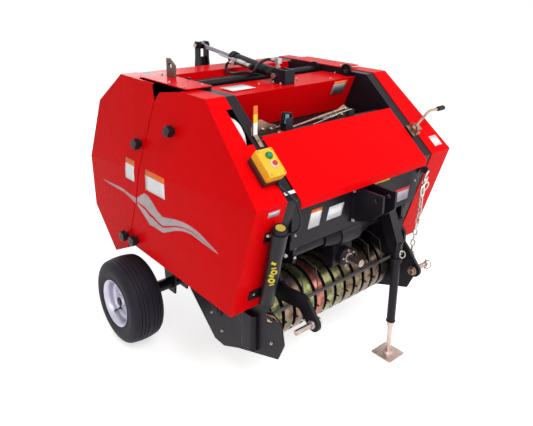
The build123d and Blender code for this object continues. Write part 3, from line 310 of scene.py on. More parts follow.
def seen_directly(tree):
    """1 where the camera, a reflection or a refraction looks at it."""
    path = tree.nodes.new("ShaderNodeLightPath")
    total = None
    for output in ("Is Camera Ray", "Is Glossy Ray", "Is Transmission Ray"):
        if total is None:
            total = path.outputs[output]
            continue
        node = tree.nodes.new("ShaderNodeMath")
        node.operation = "MAXIMUM"
        tree.links.new(total, node.inputs[0])
        tree.links.new(path.outputs[output], node.inputs[1])
        total = node.outputs["Value"]
    return total


def add_floor():
    """A pale floor, near white where the camera looks at it, that keeps the shadow."""
    mesh = bpy.data.meshes.new("floor")
    mesh.from_pydata([(-30, -30, 0), (30, -30, 0), (30, 30, 0), (-30, 30, 0)], [], [(0, 1, 2, 3)])
    floor = bpy.data.objects.new("floor", mesh)
    scene.collection.objects.link(floor)
    mat, tree, shader = new_material("floor", (0.8, 0.8, 0.8), 0.8, specular=0.1)
    glow = tree.nodes.new("ShaderNodeMath")
    glow.operation = "MULTIPLY"
    glow.inputs[1].default_value = 0.62  # brings the seen floor near white
    tree.links.new(seen_directly(tree), glow.inputs[0])
    shader.inputs["Emission Color"].default_value = (1, 1, 1, 1)
    tree.links.new(glow.outputs["Value"], shader.inputs["Emission Strength"])
    mesh.materials.append(mat)


def add_world():
    """White all round, and dimmer as a light than as it is seen."""
    world = bpy.data.worlds.new("world")
    scene.world = world
    world.use_nodes = True
    tree = world.node_tree
    background = tree.nodes["Background"]
    background.inputs["Color"].default_value = (1, 1, 1, 1)
    strength = tree.nodes.new("ShaderNodeMapRange")
    strength.inputs["To Min"].default_value = 0.45
    strength.inputs["To Max"].default_value = 1.0
    tree.links.new(seen_directly(tree), strength.inputs["Value"])
    tree.links.new(strength.outputs["Result"], background.inputs["Strength"])


add_floor()
add_world()
scene.view_settings.view_transform = "Standard"

# -------------------- building pieces


def at(x, y, z):
    """A place on the part's drawing, in millimetres, as a point of the scene."""
    return Vector((x, y + drawing_shift, z)) / 1000


def basis(direction, hint=above):
    """Three unit vectors: the last one along direction, the second as near to hint as it goes."""
    along = Vector(direction).normalized()
    hint = Vector(hint)
    if abs(along.dot(hint.normalized())) > 0.97:
        hint = Vector((0, 1, 0)) if abs(along.y) < 0.9 else Vector((1, 0, 0))
    across = hint.cross(along).normalized()
    return across, along.cross(across), along


def lathe(bm, origin, direction, profile, segments, closed=False, hint=above):
    """A turned shape. profile is (distance along, radius) in millimetres; a closed one is a ring."""
    across, up, along = basis(direction, hint)
    start = at(*origin)
    rings = []
    for distance, radius in profile:
        middle = start + along * distance / 1000
        if radius == 0:
            rings.append([bm.verts.new(middle)])
            continue
        rings.append([
            bm.verts.new(middle + (across * math.cos(a) + up * math.sin(a)) * radius / 1000)
            for a in around(segments)
        ])
    pairs = list(zip(rings, rings[1:]))
    if closed:
        pairs.append((rings[-1], rings[0]))
    for a, b in pairs:
        for i in range(segments if len(a) + len(b) > 2 else 0):
            j = (i + 1) % segments
            if len(a) == 1:
                bm.faces.new((a[0], b[j], b[i]))
            elif len(b) == 1:
                bm.faces.new((a[i], a[j], b[0]))
            else:
                bm.faces.new((a[i], a[j], b[j], b[i]))


def prism(bm, outline, depth):
    """A flat outline of points in millimetres, made as thick as the vector depth."""
    near = [bm.verts.new(at(*p)) for p in outline]
    far = [bm.verts.new(v.co + Vector(depth) / 1000) for v in near]
    bm.faces.new(near)
    bm.faces.new(far[::-1])
    for i in range(len(near)):
        j = (i + 1) % len(near)
        bm.faces.new((near[i], far[i], far[j], near[j]))


def panel(bm, x0, x1, y, z0, z1, depth):
    """An upright rectangle across the machine, made as thick as the vector depth."""
    prism(bm, [(x0, y, z1), (x1, y, z1), (x1, y, z0), (x0, y, z0)], depth)


def around(count, start=0.0):
    """That many angles, evenly round a circle."""
    return [2 * math.pi * i / count + start for i in range(count)]


def block(bm, middle, size, axes):
    """A block of that size round its middle, along three directions."""
    u, v, w = (Vector(a).normalized() * s / 2 for a, s in zip(axes, size))
    middle = Vector(middle)
    prism(bm, [middle - w + a * u + b * v for a, b in ((-1, -1), (1, -1), (1, 1), (-1, 1))], 2 * w)


def piece(name, bm, mat, body="frame", bevel=0.0, sharp=35):
    """Turns the mesh into an object that rides on the body, with the material or materials given."""
    bmesh.ops.recalc_face_normals(bm, faces=bm.faces)
    mesh = bpy.data.meshes.new(name)
    bm.to_mesh(mesh)
    bm.free()
    for m in mat if isinstance(mat, (list, tuple)) else (mat,):
        mesh.materials.append(m)
    mesh.polygons.foreach_set("use_smooth", [True] * len(mesh.polygons))
    mesh.set_sharp_from_angle(angle=math.radians(sharp))
    obj = bpy.data.objects.new(name, mesh)
    scene.collection.objects.link(obj)
    if bevel:
        edge = obj.modifiers.new("edges", "BEVEL")
        edge.width = bevel / 1000
        edge.segments = 2
        edge.limit_method = "ANGLE"
        edge.angle_limit = math.radians(40)
    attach(obj, body)
    return obj


def rod(name, points, radius, mat, body="frame", cyclic=False):
    """A round bar bent along the points."""
    data = bpy.data.curves.new(name, "CURVE")
    data.dimensions = "3D"
    data.bevel_depth = 1  # times each point's radius, which also keeps the bounds tight
    data.bevel_resolution = 3
    data.use_fill_caps = not cyclic
    line = data.splines.new("NURBS")
    line.points.add(len(points) - 1)
    for point, place in zip(line.points, points):
        point.co = (*at(*place), 1)
        point.radius = radius / 1000
    line.order_u = 3
    line.use_endpoint_u = not cyclic
    line.use_cyclic_u = cyclic
    line.resolution_u = 8
    data.materials.append(mat)
    obj = bpy.data.objects.new(name, data)
    scene.collection.objects.link(obj)
    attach(obj, body)
    return obj


def on_slope(x, down, out):
    """A place on the covers' front slope: so far down it and so far out of it."""
    return Vector((x, top_edge[0] - run * down - fall * out, top_edge[1] - fall * down + run * out))


slope_axes = ((1, 0, 0), (0, -run, -fall), (0, -fall, run))  # across, down, out
slope_out = slope_axes[2]


def crease_height(y):
    """Where the side covers bend inwards."""
    return front_edge[1] - crease_fall * (y - front_edge[0])


def on_cover(side, y, z, out):
    """A place on a side cover's face, which leans inwards above its crease."""
    return Vector((side * (cover_half - cover_lean * max(0.0, z - crease_height(y)) + out), y, z))


def bolt(bm, place, direction, size):
    """A washer, a hexagon head and the rounded end of the thread. size is the thread's diameter."""
    s = size
    lathe(bm, place, direction, [(0, 0), (0, s), (0.16 * s, s), (0.2 * s, 0.95 * s), (0.2 * s, 0)], 20)
    lathe(
        bm, place, direction,
        [(0.2 * s, 0), (0.2 * s, 0.86 * s), (0.78 * s, 0.86 * s), (0.9 * s, 0.72 * s), (0.9 * s, 0)], 6,
    )
    lathe(
        bm, place, direction,
        [(0.9 * s, 0), (0.9 * s, 0.5 * s), (1.15 * s, 0.46 * s), (1.22 * s, 0.36 * s), (1.22 * s, 0)], 14,
    )


def bolts(name, size, direction, places, body="frame"):
    """Bolts of one size as one piece. Without a direction they point away from the centre plane."""
    bm = bmesh.new()
    for place in places:
        bolt(bm, place, direction or (math.copysign(1, place[0]), 0, 0), size)
    piece(name, bm, plated, body=body, sharp=30)


def turned(name, place, direction, profile, segments, mat, body="frame", bevel=0.0, hint=above):
    """A piece that is one turned shape."""
    bm = bmesh.new()
    lathe(bm, place, direction, profile, segments, hint=hint)
    piece(name, bm, mat, body, bevel)


# -------------------- hose and cable


def add_cord(name, points, radius, body, node):
    """A hose or cable along the points, from its own end to the far one."""
    obj = rod(name, points, radius, hose_rubber, body=body)
    obj.data.bevel_resolution = 5
    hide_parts(node)


add_cord(
    "hydraulic_hose",
    [
        (0, -13.7, 1385), (0, 4, 1385.5), (-12, 20, 1382), (-30, 33, 1370), (-45, 40, 1355),
        (-54, 44, 1338), (-57, 52, 1324), (-58, 66, 1317), (-57, 94, 1319), (-55, 138, 1311),
        (-55, 190, 1298), (-57, 228, 1291), (-58, 251, 1293), (-58, 267, 1308), (-58, 266, 1330),
        (-56, 251, 1346), (-56, 231.5, 1346),
    ],
    7, "barrel", "hose",
)
add_cord(
    "box_cable",
    [
        (-463, -573.3, 1039.8), (-463, -585.2, 1029.4), (-453, -598.9, 1014.8), (-436, -621.6, 993.7),
        (-427, -640, 972), (-416, -643, 938), (-404, -641, 903), (-400, -637, 870), (-403, -626, 847),
        (-414, -608, 833), (-432, -594, 828), (-458, -594, 828),
    ],
    4, "frame", "control_cable",
)
gland_place, gland_axis = (-463, -569, 1043.5), (0, -0.7534, -0.6575)
bm = bmesh.new()
lathe(
    bm, gland_place, gland_axis,
    [(-4, 0), (-4, 10), (5, 10), (6, 8), (13, 8), (16, 6), (16, 4.4), (0, 4.4)], 24,
)
for i in range(8):  # ribs of its sleeve
    lathe(bm, gland_place, gland_axis, [(6.4 + i, 8.2), (6.9 + i, 8.5), (7.2 + i, 8.2)], 24)
piece("cable_gland", bm, black_plastic)

# -------------------- wheels


def tyre_outer(w):
    """Radius of the tread at w from the tyre's middle."""
    return axle_z - 7 * (w / 63) ** 2


# Profiles are (from the middle, radius). The tyre's half has grooved tread, shoulder, side wall and bead.
tyre_half = [(0, axle_z)]
for groove in (14, 33, 50):
    for w, deep in ((-2.4, 0), (-1.5, 4), (1.5, 4), (2.4, 0)):
        tyre_half.append((groove + w, tyre_outer(groove + w) - deep))
tyre_half += [
    (60, 208.6), (66, 206), (71, 202), (74.5, 197.5), (75.5, 196), (78, 191), (81.5, 183), (84.5, 172),
    (85.6, 162), (85.2, 150), (83.6, 143), (84.2, 141), (84.2, 138.5), (82.8, 137), (81.8, 131),
    (82.6, 129), (82.2, 126), (81, 124.5), (79.5, 121.5), (70, 114.5), (58.5, 107.2), (57, 106.5),
]
tyre_profile = tyre_half + [(-w, r) for w, r in tyre_half[:0:-1]]
rim_profile = [
    (82, 117.5), (82.8, 118.6), (82.8, 119.6), (81.5, 120), (79.5, 118.6), (76, 114.6), (66, 109),
    (58, 106.2), (20, 106.2), (18, 104), (14, 92), (-14, 92), (-18, 104), (-20, 106.2),
    (-58, 106.2), (-66, 109), (-76, 114.6), (-79.5, 118.6), (-81.5, 120), (-82.8, 119.6),
    (-82, 117.5), (-78, 112), (-66, 105.5), (-56, 102.8), (-21, 102.8), (-14, 88.6), (14, 88.6),
    (20, 102.8), (44, 102.6), (57, 102.8), (66, 105.5), (78, 112),
]
bowl_profile = [
    (43, 102.9), (39, 102), (34, 99), (31, 94), (29.5, 84), (30.5, 70), (34, 58), (36.5, 50), (37, 40),
    (37, 30.5), (33, 30.5), (33, 40), (32.5, 50), (30, 58), (26.5, 70), (25.5, 84), (27, 95), (31, 102),
    (36, 103),
]
hub_profile = [
    (-36, 12.8), (-36, 28), (-34, 30), (37, 30), (38, 31), (40, 31), (54, 27), (56, 25), (56, 18), (53, 17),
    (53, 12.8),
]
wheel_bolt_r, valve_r, valve_angle = 42, 85, math.radians(-55)
for side, word in ((-1, "right"), (1, "left")):
    body = f"wheel_{word}"
    hub = (side * hub_x, axle_y, axle_z)
    out = (side, 0, 0)
    bm = bmesh.new()
    lathe(bm, hub, out, tyre_profile, 128, closed=True)
    tyre = piece(f"ribbed_tyre_{word}", bm, rubber, body=body, sharp=28)
    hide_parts(f"tyre_{word}")
    bm = bmesh.new()
    for profile, segments in ((rim_profile, 96), (bowl_profile, 96), (hub_profile, 48)):
        lathe(bm, hub, out, profile, segments, closed=True)
    for a in around(5, 0.3):
        place = (hub[0] + side * 37, axle_y + wheel_bolt_r * math.cos(a), axle_z + wheel_bolt_r * math.sin(a))
        bolt(bm, place, out, 7)
    rim = piece(f"bowl_rim_{word}", bm, rim_paint, body=body, sharp=32)
    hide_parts(f"rim_{word}")
    # Dark patches in place of the bowl's two slots: painted shade for the openings' dark insides.
    bm = bmesh.new()
    for a in around(2, valve_angle):  # two slots in the bowl, one of them over the valve
        radial = Vector((0, math.cos(a), math.sin(a)))
        tangent = Vector((0, -math.sin(a), math.cos(a)))
        block(
            bm, Vector(hub) + radial * 84 + Vector((side * 30.3, 0, 0)), (9, 26, 1.2),
            (radial, tangent, (1, 0, 0)),
        )
    piece(f"rim_slot_shade_{word}", bm, dark, body=body, bevel=0.5)
    bm = bmesh.new()
    aside, up = math.cos(valve_angle), math.sin(valve_angle)
    lathe(
        bm, (hub[0] + side * 30, axle_y + valve_r * aside, axle_z + valve_r * up),
        (side, 0.25 * aside, 0.25 * up),
        [(-6, 0), (-6, 5.5), (10, 5), (13, 3), (22, 2.8), (24, 3.6), (33, 3.6), (35, 2.5), (35, 0)], 16,
    )
    piece(f"valve_{word}", bm, black_plastic, body=body)
    bm = bmesh.new()
    for x, profile, segments in (
        (700.5, [(0, 12.6), (0, 24), (2.6, 24), (3, 23), (3, 12.6)], 32),
        (703.5, [(0, 12.6), (0, 19), (4, 19), (4.4, 17), (4.4, 12.6)], 6),
    ):
        lathe(bm, (side * x, axle_y, axle_z), out, profile, segments, closed=True)
    piece(f"axle_nut_{word}", bm, dark, bevel=0.4)

# -------------------- control box

box_x, box_down = -495, 361  # the box's middle, across and down the slope
# The base's dark tone below the yellow cover is partly painted shade.
for name, out, size, mat, slot, bevel in (
    ("control_box_base", 15.2, (79.6, 119.6, 29.6), box_base_and_shade, "black_plastic", 5),
    ("control_box_cover", 52.8, (79.8, 119.8, 44.6), yellow, "yellow_plastic", 6),
):
    bm = bmesh.new()
    block(bm, on_slope(box_x, box_down, out), size, slope_axes)
    half = piece(name, bm, mat, bevel=bevel)
    if name == "control_box_base":
        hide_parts("control_box")
bm = bmesh.new()
block(bm, on_slope(box_x, box_down, 31.0), (79, 119, 1.6), slope_axes)  # the seal between its halves
for dx, dd in ((-31, -50), (31, -50), (-31, 50), (31, 50)):
    lathe(
        bm, on_slope(box_x + dx, box_down + dd, 74.6), slope_out,
        [(0, 4.4), (1.1, 4.2), (1.3, 3.4), (0.4, 3), (0.4, 0)], 16,
    )
piece("control_box_screws", bm, dark, bevel=0.3)
for down, word, head, ring in (
    (336, "green", green_plastic, green_plastic), (374, "red", red_plastic, white_plastic),
):
    foot = on_slope(-492, down, 75.3)
    bm = bmesh.new()
    lathe(
        bm, foot, slope_out,
        [(0, 15), (2, 15), (7, 14.2), (9, 13.4), (9.4, 12.6), (8.6, 11.6), (8.6, 0), (0, 0)], 40,
    )
    u, v, w = basis(slope_out)
    for a in around(24):  # the ring's knurls
        radial, tangent = u * math.cos(a) + v * math.sin(a), -u * math.sin(a) + v * math.cos(a)
        block(bm, Vector(foot) + radial * 14.4 + w * 3.5, (1.6, 1.6, 6), (radial, tangent, w))
    ring_piece = piece(
        f"button_ring_{word}", bm, ring,
    )
    profile = [(8, 11), (10.5, 11), (12.6, 10.2), (13.4, 8.4), (13.8, 5), (13.9, 0)]
    turned(f"button_{word}", foot, slope_out, profile, 40, head)
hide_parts("control_buttons")

# -------------------- labels, stripe


def sticker(name, rows, mats, body="frame", across=6):
    """A thin label that follows its surface. rows are (left, right, index of the material below)."""
    bm = bmesh.new()
    lines = []
    for left, right, _ in rows:
        left, right = Vector(left), Vector(right)
        lines.append([bm.verts.new(at(*left.lerp(right, i / across))) for i in range(across + 1)])
    for (a, b), (_, _, index) in zip(zip(lines, lines[1:]), rows):
        for i in range(across):
            bm.faces.new((a[i], a[i + 1], b[i + 1], b[i])).material_index = index
    obj = piece(name, bm, mats, body)
    thick = obj.modifiers.new("sheet", "SOLIDIFY")
    thick.thickness = 0.0005
    thick.offset = 0


def cover_label(name, y0, y1, z0, z1, bar, mats, body):
    """On the right cover, with a coloured bar along its top."""
    foot = z1 - bar
    heights = [z1, foot] + [foot - (foot - z0) * k / 6 for k in range(1, 7)]
    rows = [
        (on_cover(-1, y1, z, 1.2), on_cover(-1, y0, z, 1.2), 0 if k == 0 else 1)
        for k, z in enumerate(heights)
    ]
    sticker(name, rows, mats, body)


def plate_label(name, x0, x1, z0, z1, bar, mats, lean):
    """On the front plate. lean is how far the label's foot stands to -X."""
    y = -596.0
    rows = [((x0, y, z1), (x1, y, z1), 0)]
    if bar:
        share = bar / (z1 - z0)
        rows.append(((x0 - lean * share, y, z1 - bar), (x1 - lean * share, y, z1 - bar), 1))
    rows.append(((x0 - lean, y, z0), (x1 - lean, y, z0), 1))
    sticker(name, rows, mats)


cover_label("side_label_a", 247, 330, 840, 941, 26, [label_orange, label_white], "gate")
cover_label("side_label_b", -17, 143, 834, 931, 27, [label_orange, label_white], "frame")
plate_label("plate_label_a", -300, -236, 817, 895, 15, [label_orange, label_white], lean=20)
plate_label("plate_label_b", -198, -108, 824, 879, 0, [label_white, label_white], lean=16)
plate_label("plate_label_c", 66, 196, 908, 926, 0, [label_yellow, label_yellow], lean=5)
plate_label("plate_label_d", 248, 352, 781, 844, 16, [label_red, label_grey], lean=12)


def on_box_top(x, y):
    """A place just above the top plates."""
    return (x, y, 1289.6)


def on_box_front(x, z):
    """A place on the slanted front of the top box, 171 mm high and with its foot 69 mm to the rear."""
    share = (1285 - z) / 171
    return (x, -185.2 + 69 * share, z)


def on_front_edge(x, z):
    """A place on the covers' edge below the slope."""
    return (x, front_edge[0] + (front_edge[1] - z) * edge_lean - 0.6, z)


def on_slope_skin(x, down):
    """A place just above the slope's sheet."""
    return on_slope(x, down, 0.6)


for name, place, left, right, rows, mats in (
    ("box_label_top", on_box_top, -314, -182, ((-114, 0), (-22, 0)), [label_white]),
    (
        "box_label_front", on_box_front, 260, 352, ((1276, 0), (1262, 1), (1208, 1)),
        [label_orange, label_white],
    ),
    ("edge_label", on_front_edge, -547, -492, ((957, 0), (934, 0)), [label_grey]),
    ("slope_label", on_slope_skin, 520, 578, ((412, 0), (468, 0)), [label_white]),
):
    sticker(name, [(place(left, v), place(right, v), index) for v, index in rows], mats)

# A tapered silver stripe with slim ends and a knot in its middle, cut where the covers part.
# Rows are (y, top, foot); the first six lie on the gate's cover.
stripe = [
    (573, 760, 757), (505, 763, 755), (430, 768, 754), (366, 770, 756), (300, 762, 745), (246, 761, 733),
    (232, 765, 729), (198, 788, 710), (160, 811, 688), (124, 805, 666), (90, 786, 670), (50, 758, 668),
    (10, 744, 668), (-40, 756, 690), (-93, 768, 716), (-150, 777, 735), (-205, 779, 743), (-243, 776, 741),
    (-277, 770, 737), (-330, 753, 732), (-400, 730, 727),
]
for word, rows, body in (("gate", stripe[:6], "gate"), ("front", stripe[6:], "frame")):
    for level, high, low in (("upper", 1.0, 0.44), ("lower", 0.32, 0.0)):
        bm = bmesh.new()
        lines = [
            [bm.verts.new(at(*on_cover(-1, y, foot + (top - foot) * share, 0.4))) for y, top, foot in rows]
            for share in (high, low)
        ]
        for i in range(len(rows) - 1):
            bm.faces.new((lines[0][i], lines[0][i + 1], lines[1][i + 1], lines[1][i]))
        piece(f"stripe_{word}_{level}", bm, stripe_silver, body)

# A red lip along the front covers' rear edge, which narrows the gap to the gate's covers.
seam_line = [(120, 1241), (238, 766), (351, 463)]
places = [
    (y0 + (y1 - y0) * k / 6, z0 + (z1 - z0) * k / 6)
    for (y0, z0), (y1, z1) in zip(seam_line, seam_line[1:])
    for k in range(6)
] + [seam_line[-1]]
for side, word in ((-1, "right"), (1, "left")):
    rows = [(on_cover(side, y - 4.4, z, -1.2), on_cover(side, y + 1.4, z, -1.2), 0) for y, z in places]
    sticker(f"seam_lip_{word}", rows, [red], "frame", 1)

# -------------------- indicator strip, twine gear

bm = bmesh.new()
for top, foot, index in ((1294, 1262, 0), (1262, 1228, 1), (1228, 1176, 2)):  # from orange to white
    before = len(bm.faces)
    panel(bm, -439.6, -420.4, -404.6, foot, top, (0, 3.4, 0))
    bm.faces.ensure_lookup_table()
    for face in bm.faces[before:]:
        face.material_index = index
strip = piece("indicator_strip", bm, [label_orange, label_yellow, label_white])
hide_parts("indicator_arm")
bm = bmesh.new()
prism(
    bm, [(-439.5, -406, 1178), (-420.5, -406, 1178), (-420.5, -445, 1141), (-439.5, -445, 1141)],
    (0, 2.6, 3.0),
)
prism(
    bm,
    [
        (-445, -398, 1172), (-415, -398, 1172), (-415, -398, 1208), (-424, -398, 1222), (-436, -398, 1222),
        (-445, -398, 1208),
    ],
    (0, 3, 0),
)
bolt(bm, (-430, -424, 1164), (0, -0.66, 0.75), 5)
bolt(bm, (-430, -398, 1190), ahead, 5)
piece("indicator_foot", bm, bronze, bevel=0.6)

bm = bmesh.new()
prism(
    bm,
    [
        (-354, -331, 1150), (-262, -331, 1150), (-256, -331, 1176), (-300, -331, 1190), (-340, -331, 1212),
        (-362, -331, 1206),
    ],
    (0, 4, 0),
)
leaning = ((1, 0, -0.2), (0, 1, 0), (0.2, 0, 1))
block(bm, (-205, -333, 1192), (44, 18, 52), leaning)
prism(
    bm, [(120, -333, 1140), (188, -333, 1146), (196, -333, 1182), (160, -333, 1204), (104, -333, 1182)],
    (0, 4, 0),
)
prism(bm, [(60, -345, 1160), (128, -345, 1164), (128, -345, 1176), (60, -345, 1172)], (0, 28, 0))
piece("twine_plates", bm, bronze, bevel=1)
bm = bmesh.new()
block(bm, (-208, -343, 1196), (22, 2, 40), leaning)
piece("twine_window", bm, counter_blue, bevel=0.6)
bm = bmesh.new()
block(bm, (-205, -336, 1194), (50, 12, 60), leaning)
piece("twine_counter", bm, black_plastic, bevel=2)
rod(
    "twine_lever",
    [(-186, -332, 1150), (-100, -336, 1160), (10, -338, 1176), (90, -336, 1182), (168, -334, 1190)], 5,
    bronze,
)
rod("twine_link", [(-120, -322, 1150), (-20, -320, 1160), (90, -322, 1164), (150, -326, 1158)], 4, plated)
rod(
    "twine_arm", [(-380, -326, 1188), (-330, -322, 1178), (-262, -322, 1160), (-220, -326, 1166)], 4, bronze,
)
rod(
    "twine_spring_rod", [(-60, -352, 1150), (40, -356, 1166), (120, -352, 1178), (200, -344, 1180)], 3,
    plated,
)
bm = bmesh.new()
for i in range(26):  # a coil spring along the linkage
    lathe(
        bm, (i * 3.4, -354 + i * 0.05, 1160 + i * 0.42), (1, 0, 0.12),
        [(0, 7), (0.9, 8.1), (1.8, 7), (0.9, 5.9)], 18, closed=True,
    )
piece("twine_spring", bm, plated)
bolts(
    "twine_bolts", 7, ahead,
    [
        (-330, -331.5, 1170), (-284, -331.5, 1164), (146, -333.5, 1160), (166, -333.5, 1186),
        (92, -338, 1182),
    ],
)
bm = bmesh.new()
for x in (-372, -246, 206):
    lathe(
        bm, (x, -330, 1140), (1, 0, 0),
        [(-9, 7.2), (-9, 13), (-7, 13), (-5, 9), (5, 9), (7, 13), (9, 13), (9, 7.2)], 28, closed=True,
    )
piece("twine_eyes", bm, bronze)

# The twine arm's drum, which shows through the notch in the right cover.
profile = [(0, 0), (0, 97), (1.5, 98.5), (22, 98.5), (24, 96), (24, 0)]
turned("twine_drum", (-464, -295.67, 1133.44), (-1, 0, 0), profile, 96, white_plastic)

# -------------------- safety chain

chain_line = [
    (405, -637, 868), (390, -637, 811), (393, -637, 745), (382, -637, 660), (364, -637, 572),
    (357.5, -637, 500),
]
chain_length, chain_step = 372, 27.6


def along_line(points, distance):
    """The place so far along the line, and the line's direction there."""
    for a, b in zip(points, points[1:]):
        step = Vector(b) - Vector(a)
        if distance <= step.length:
            return Vector(a) + step * (distance / step.length), step.normalized()
        distance -= step.length
    return Vector(points[-1]), step.normalized()


def chain_link(bm, middle, direction, turn, length=37, width=25, wire=3.9):
    """An oval link of wire of that radius. turn is its angle about the chain's line."""
    u, v, w = basis(direction, ahead)
    flat = u * math.cos(turn) + v * math.sin(turn)
    up = w.cross(flat)
    radius = (width - 2 * wire) / 2
    rings = []
    for a in around(20):
        straight = (length - width) / 2 * (1 if math.cos(a) >= 0 else -1)
        centre = Vector(middle) + w * (straight + radius * math.cos(a)) + flat * radius * math.sin(a)
        normal = w * math.cos(a) + flat * math.sin(a)
        rings.append([
            bm.verts.new(at(*(centre + normal * wire * math.cos(b) + up * wire * math.sin(b))))
            for b in around(8)
        ])
    for a, b in zip(rings, rings[1:] + rings[:1]):
        for k in range(8):
            bm.faces.new((a[k], a[(k + 1) % 8], b[(k + 1) % 8], b[k]))


bm = bmesh.new()
distance, turn = 10.0, 0.4
while distance < chain_length:
    place, direction = along_line(chain_line, distance)
    chain_link(bm, place, direction, turn)
    distance += chain_step
    turn += math.pi / 2 + random.uniform(-0.2, 0.2)
chain = piece("chain_links", bm, chain_steel)
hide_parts("safety_chain")
for name, radius, closed, points in (
    ("chain_hook", 5.4, False, [
        (432, -630, 904), (424, -642, 912), (406, -646, 904), (394, -645, 886), (394, -642, 868),
        (404, -639, 858), (418, -640, 864), (420, -642, 882),
    ]),
    ("chain_ring", 4.4, True, [
        (390, -646, 856), (416, -652, 862), (424, -646, 832), (408, -634, 808), (386, -636, 820),
    ]),
    ("chain_snap", 4.8, True, [
        (380, -647, 852), (362, -649, 832), (370, -647, 800), (394, -643, 790), (404, -643, 820),
    ]),
    ("chain_end_ring", 3.6, True, [
        (372, -643, 512), (366, -650, 496), (350, -646, 484), (346, -634, 498), (358, -630, 514),
    ]),
):
    rod(name, points, radius, chain_steel, cyclic=closed)
bm = bmesh.new()
panel(bm, 416, 444, -604.5, 884, 930, (0, -3.4, 0))
panel(bm, 426, 434, -606, 892, 924, (0, -30, -3))
lathe(bm, (422, -630, 906), (1, 0, 0), [(0, 0), (0, 9), (16, 9), (16, 0)], 20)
bolt(bm, (430, -608, 922), (0, -1, 0.1), 6)
piece("chain_bracket", bm, dark, bevel=0.8)

# -------------------- hand crank

crank_y = -535
crank_line = [
    (437, 1092), (452, 1101), (478, 1118), (512, 1139), (536, 1153), (556, 1158), (590, 1157), (632, 1156),
]
rod("crank_rod", [(x, crank_y, z) for x, z in crank_line], 6.4, bronze)
bm = bmesh.new()
lathe(
    bm, (614, crank_y, 1156.6), (1, 0, -0.01),
    [(0, 7), (0, 10.4), (3, 11.4), (50, 11), (54, 10), (56, 7), (56, 0)], 32,
)
for i in range(9):
    lathe(bm, (619 + 5 * i, crank_y, 1156.5), (1, 0, -0.01), [(0, 11.2), (0.9, 11.9), (1.8, 11.2)], 32)
piece("crank_grip", bm, black_plastic)
bm = bmesh.new()
web = [on_slope(430, d, o) for d, o in ((326, 0.5), (392, 0.5), (384, 30), (366, 44), (348, 44), (332, 30))]
prism(bm, web, (5, 0, 0))
foot = [on_slope_skin(x, d) for x, d in ((420, 326), (476, 334), (476, 384), (420, 392))]
prism(bm, foot, Vector(slope_out) * 4)
block(bm, on_slope(455, 362, 18), (24, 34, 30), slope_axes)
lathe(bm, (424, crank_y, 1084), (0.86, 0, 0.52), [(0, 0), (0, 13), (22, 13), (24, 11), (24, 0)], 32)
crank = piece("crank_bracket", bm, bronze, bevel=1.2)
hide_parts("hand_lever")
bm = bmesh.new()
for down in (342, 378):
    bolt(bm, on_slope(466, down, 4.6), slope_out, 6)
bolt(bm, on_slope(429.5, 352, 30), (-1, 0, 0), 6)
piece("crank_bolts", bm, plated, sharp=30)

# -------------------- document tube

tube_foot, tube_top = Vector((-468, -524, 512)), Vector((-507, -640, 895))
tube_axis = (tube_top - tube_foot).normalized()
profile = [(0.4, 0), (0.4, 19), (1.2, 19), (1.4, 17.6), (1.0, 16), (1.0, 0)]
turned("cap_disc", tube_top, tube_axis, profile, 40, cap_yellow, hint=ahead)
bm = bmesh.new()
u, v, w = basis(tube_axis, ahead)
for a in around(22):  # grip ribs on the cap
    radial = u * math.cos(a) + v * math.sin(a)
    block(bm, tube_top - w * 11 + radial * 27, (2.2, 2.4, 17), (radial, w.cross(radial), w))
lathe(bm, tube_top - tube_axis * 24, tube_axis, [(0, 30.4), (0, 33.6), (4, 33.6), (5, 31), (5, 27.5)], 48)
lathe(bm, tube_foot + tube_axis, tube_axis, [(-0.5, 28), (-0.5, 31.2), (10, 31.2), (12, 30.2)], 48)
piece("cap_ribs", bm, black_plastic)
bm = bmesh.new()
front = Vector((-0.62, -0.75, 0)).normalized()
front = (front - tube_axis * front.dot(tube_axis)).normalized()
across_tube = tube_axis.cross(front)
# Marks along the tube, from the top: a bar slants to one side, and a ring has an outer radius.
for k, (up, slant, ring) in enumerate((
    (250, -0.3, 0), (226, 0.4, 0), (206, 0, 13), (184, -0.3, 0), (160, 0, 14), (138, 0.4, 0)
)):
    turn = 0.12 * (k % 3 - 1)
    radial = (front * math.cos(turn) + across_tube * math.sin(turn)).normalized()
    tangent = tube_axis.cross(radial)
    middle = tube_foot + tube_axis * up + radial * 30.3
    if ring:
        profile = [(0, 6), (0.5, 6), (0.5, ring), (0, ring)]
        lathe(bm, middle, radial, profile, 24, closed=True, hint=tube_axis)
    else:
        size = (20, 6, 0.6) if slant > 0 else (18, 13, 0.6)
        block(bm, middle, size, (tangent + tube_axis * slant, tube_axis - tangent * slant, radial))
piece("tube_marks", bm, label_yellow)
bm = bmesh.new()
for place, aside in (((-531, -600, 857), -0.2), ((-440, -599, 744), 0), ((-519, -503, 563), 0)):
    bolt(bm, place, (aside, -0.95, 0.28), 8)
piece("tube_bolts", bm, plated, sharp=30)

# -------------------- bolts and hitch pins

sides = (-1, 1)
bolts(
    "plate_bolts", 6, ahead,
    [
        (x, -595.6, z)
        for x, z in ((-388, 962), (-388, 812), (388, 962), (386, 858), (150, 962), (-40, 962), (372, 962))
    ],
)
bolts("clevis_bolts", 8, ahead, [(x, -602.2, z) for x in (-56, 56) for z in (786, 916)])
bolts("clevis_lock", 7, None, [(47.5, -712, 902)])
bolts(
    "box_bolts", 5, above,
    [
        (x, y, 1289.2)
        for x, y in ((-392, -60), (-392, -160), (392, -60), (120, -60), (-120, -60), (250, -160))
    ],
)
bolts(
    "ear_bolts", 6, above,
    [(x * side, y, 1322.2) for side in sides for x, y in ((434, -60), (520, -60), (520, 60), (434, 258))],
)
bolts("bracket_bolts", 7, above, [(x, y, 1289.4) for x in (-42, 42) for y in (-120, -70)])
bolts("post_bolts", 7, (0, 0.61, 0.79), [(x, 560, 1251) for x in (48, -48)], "gate")
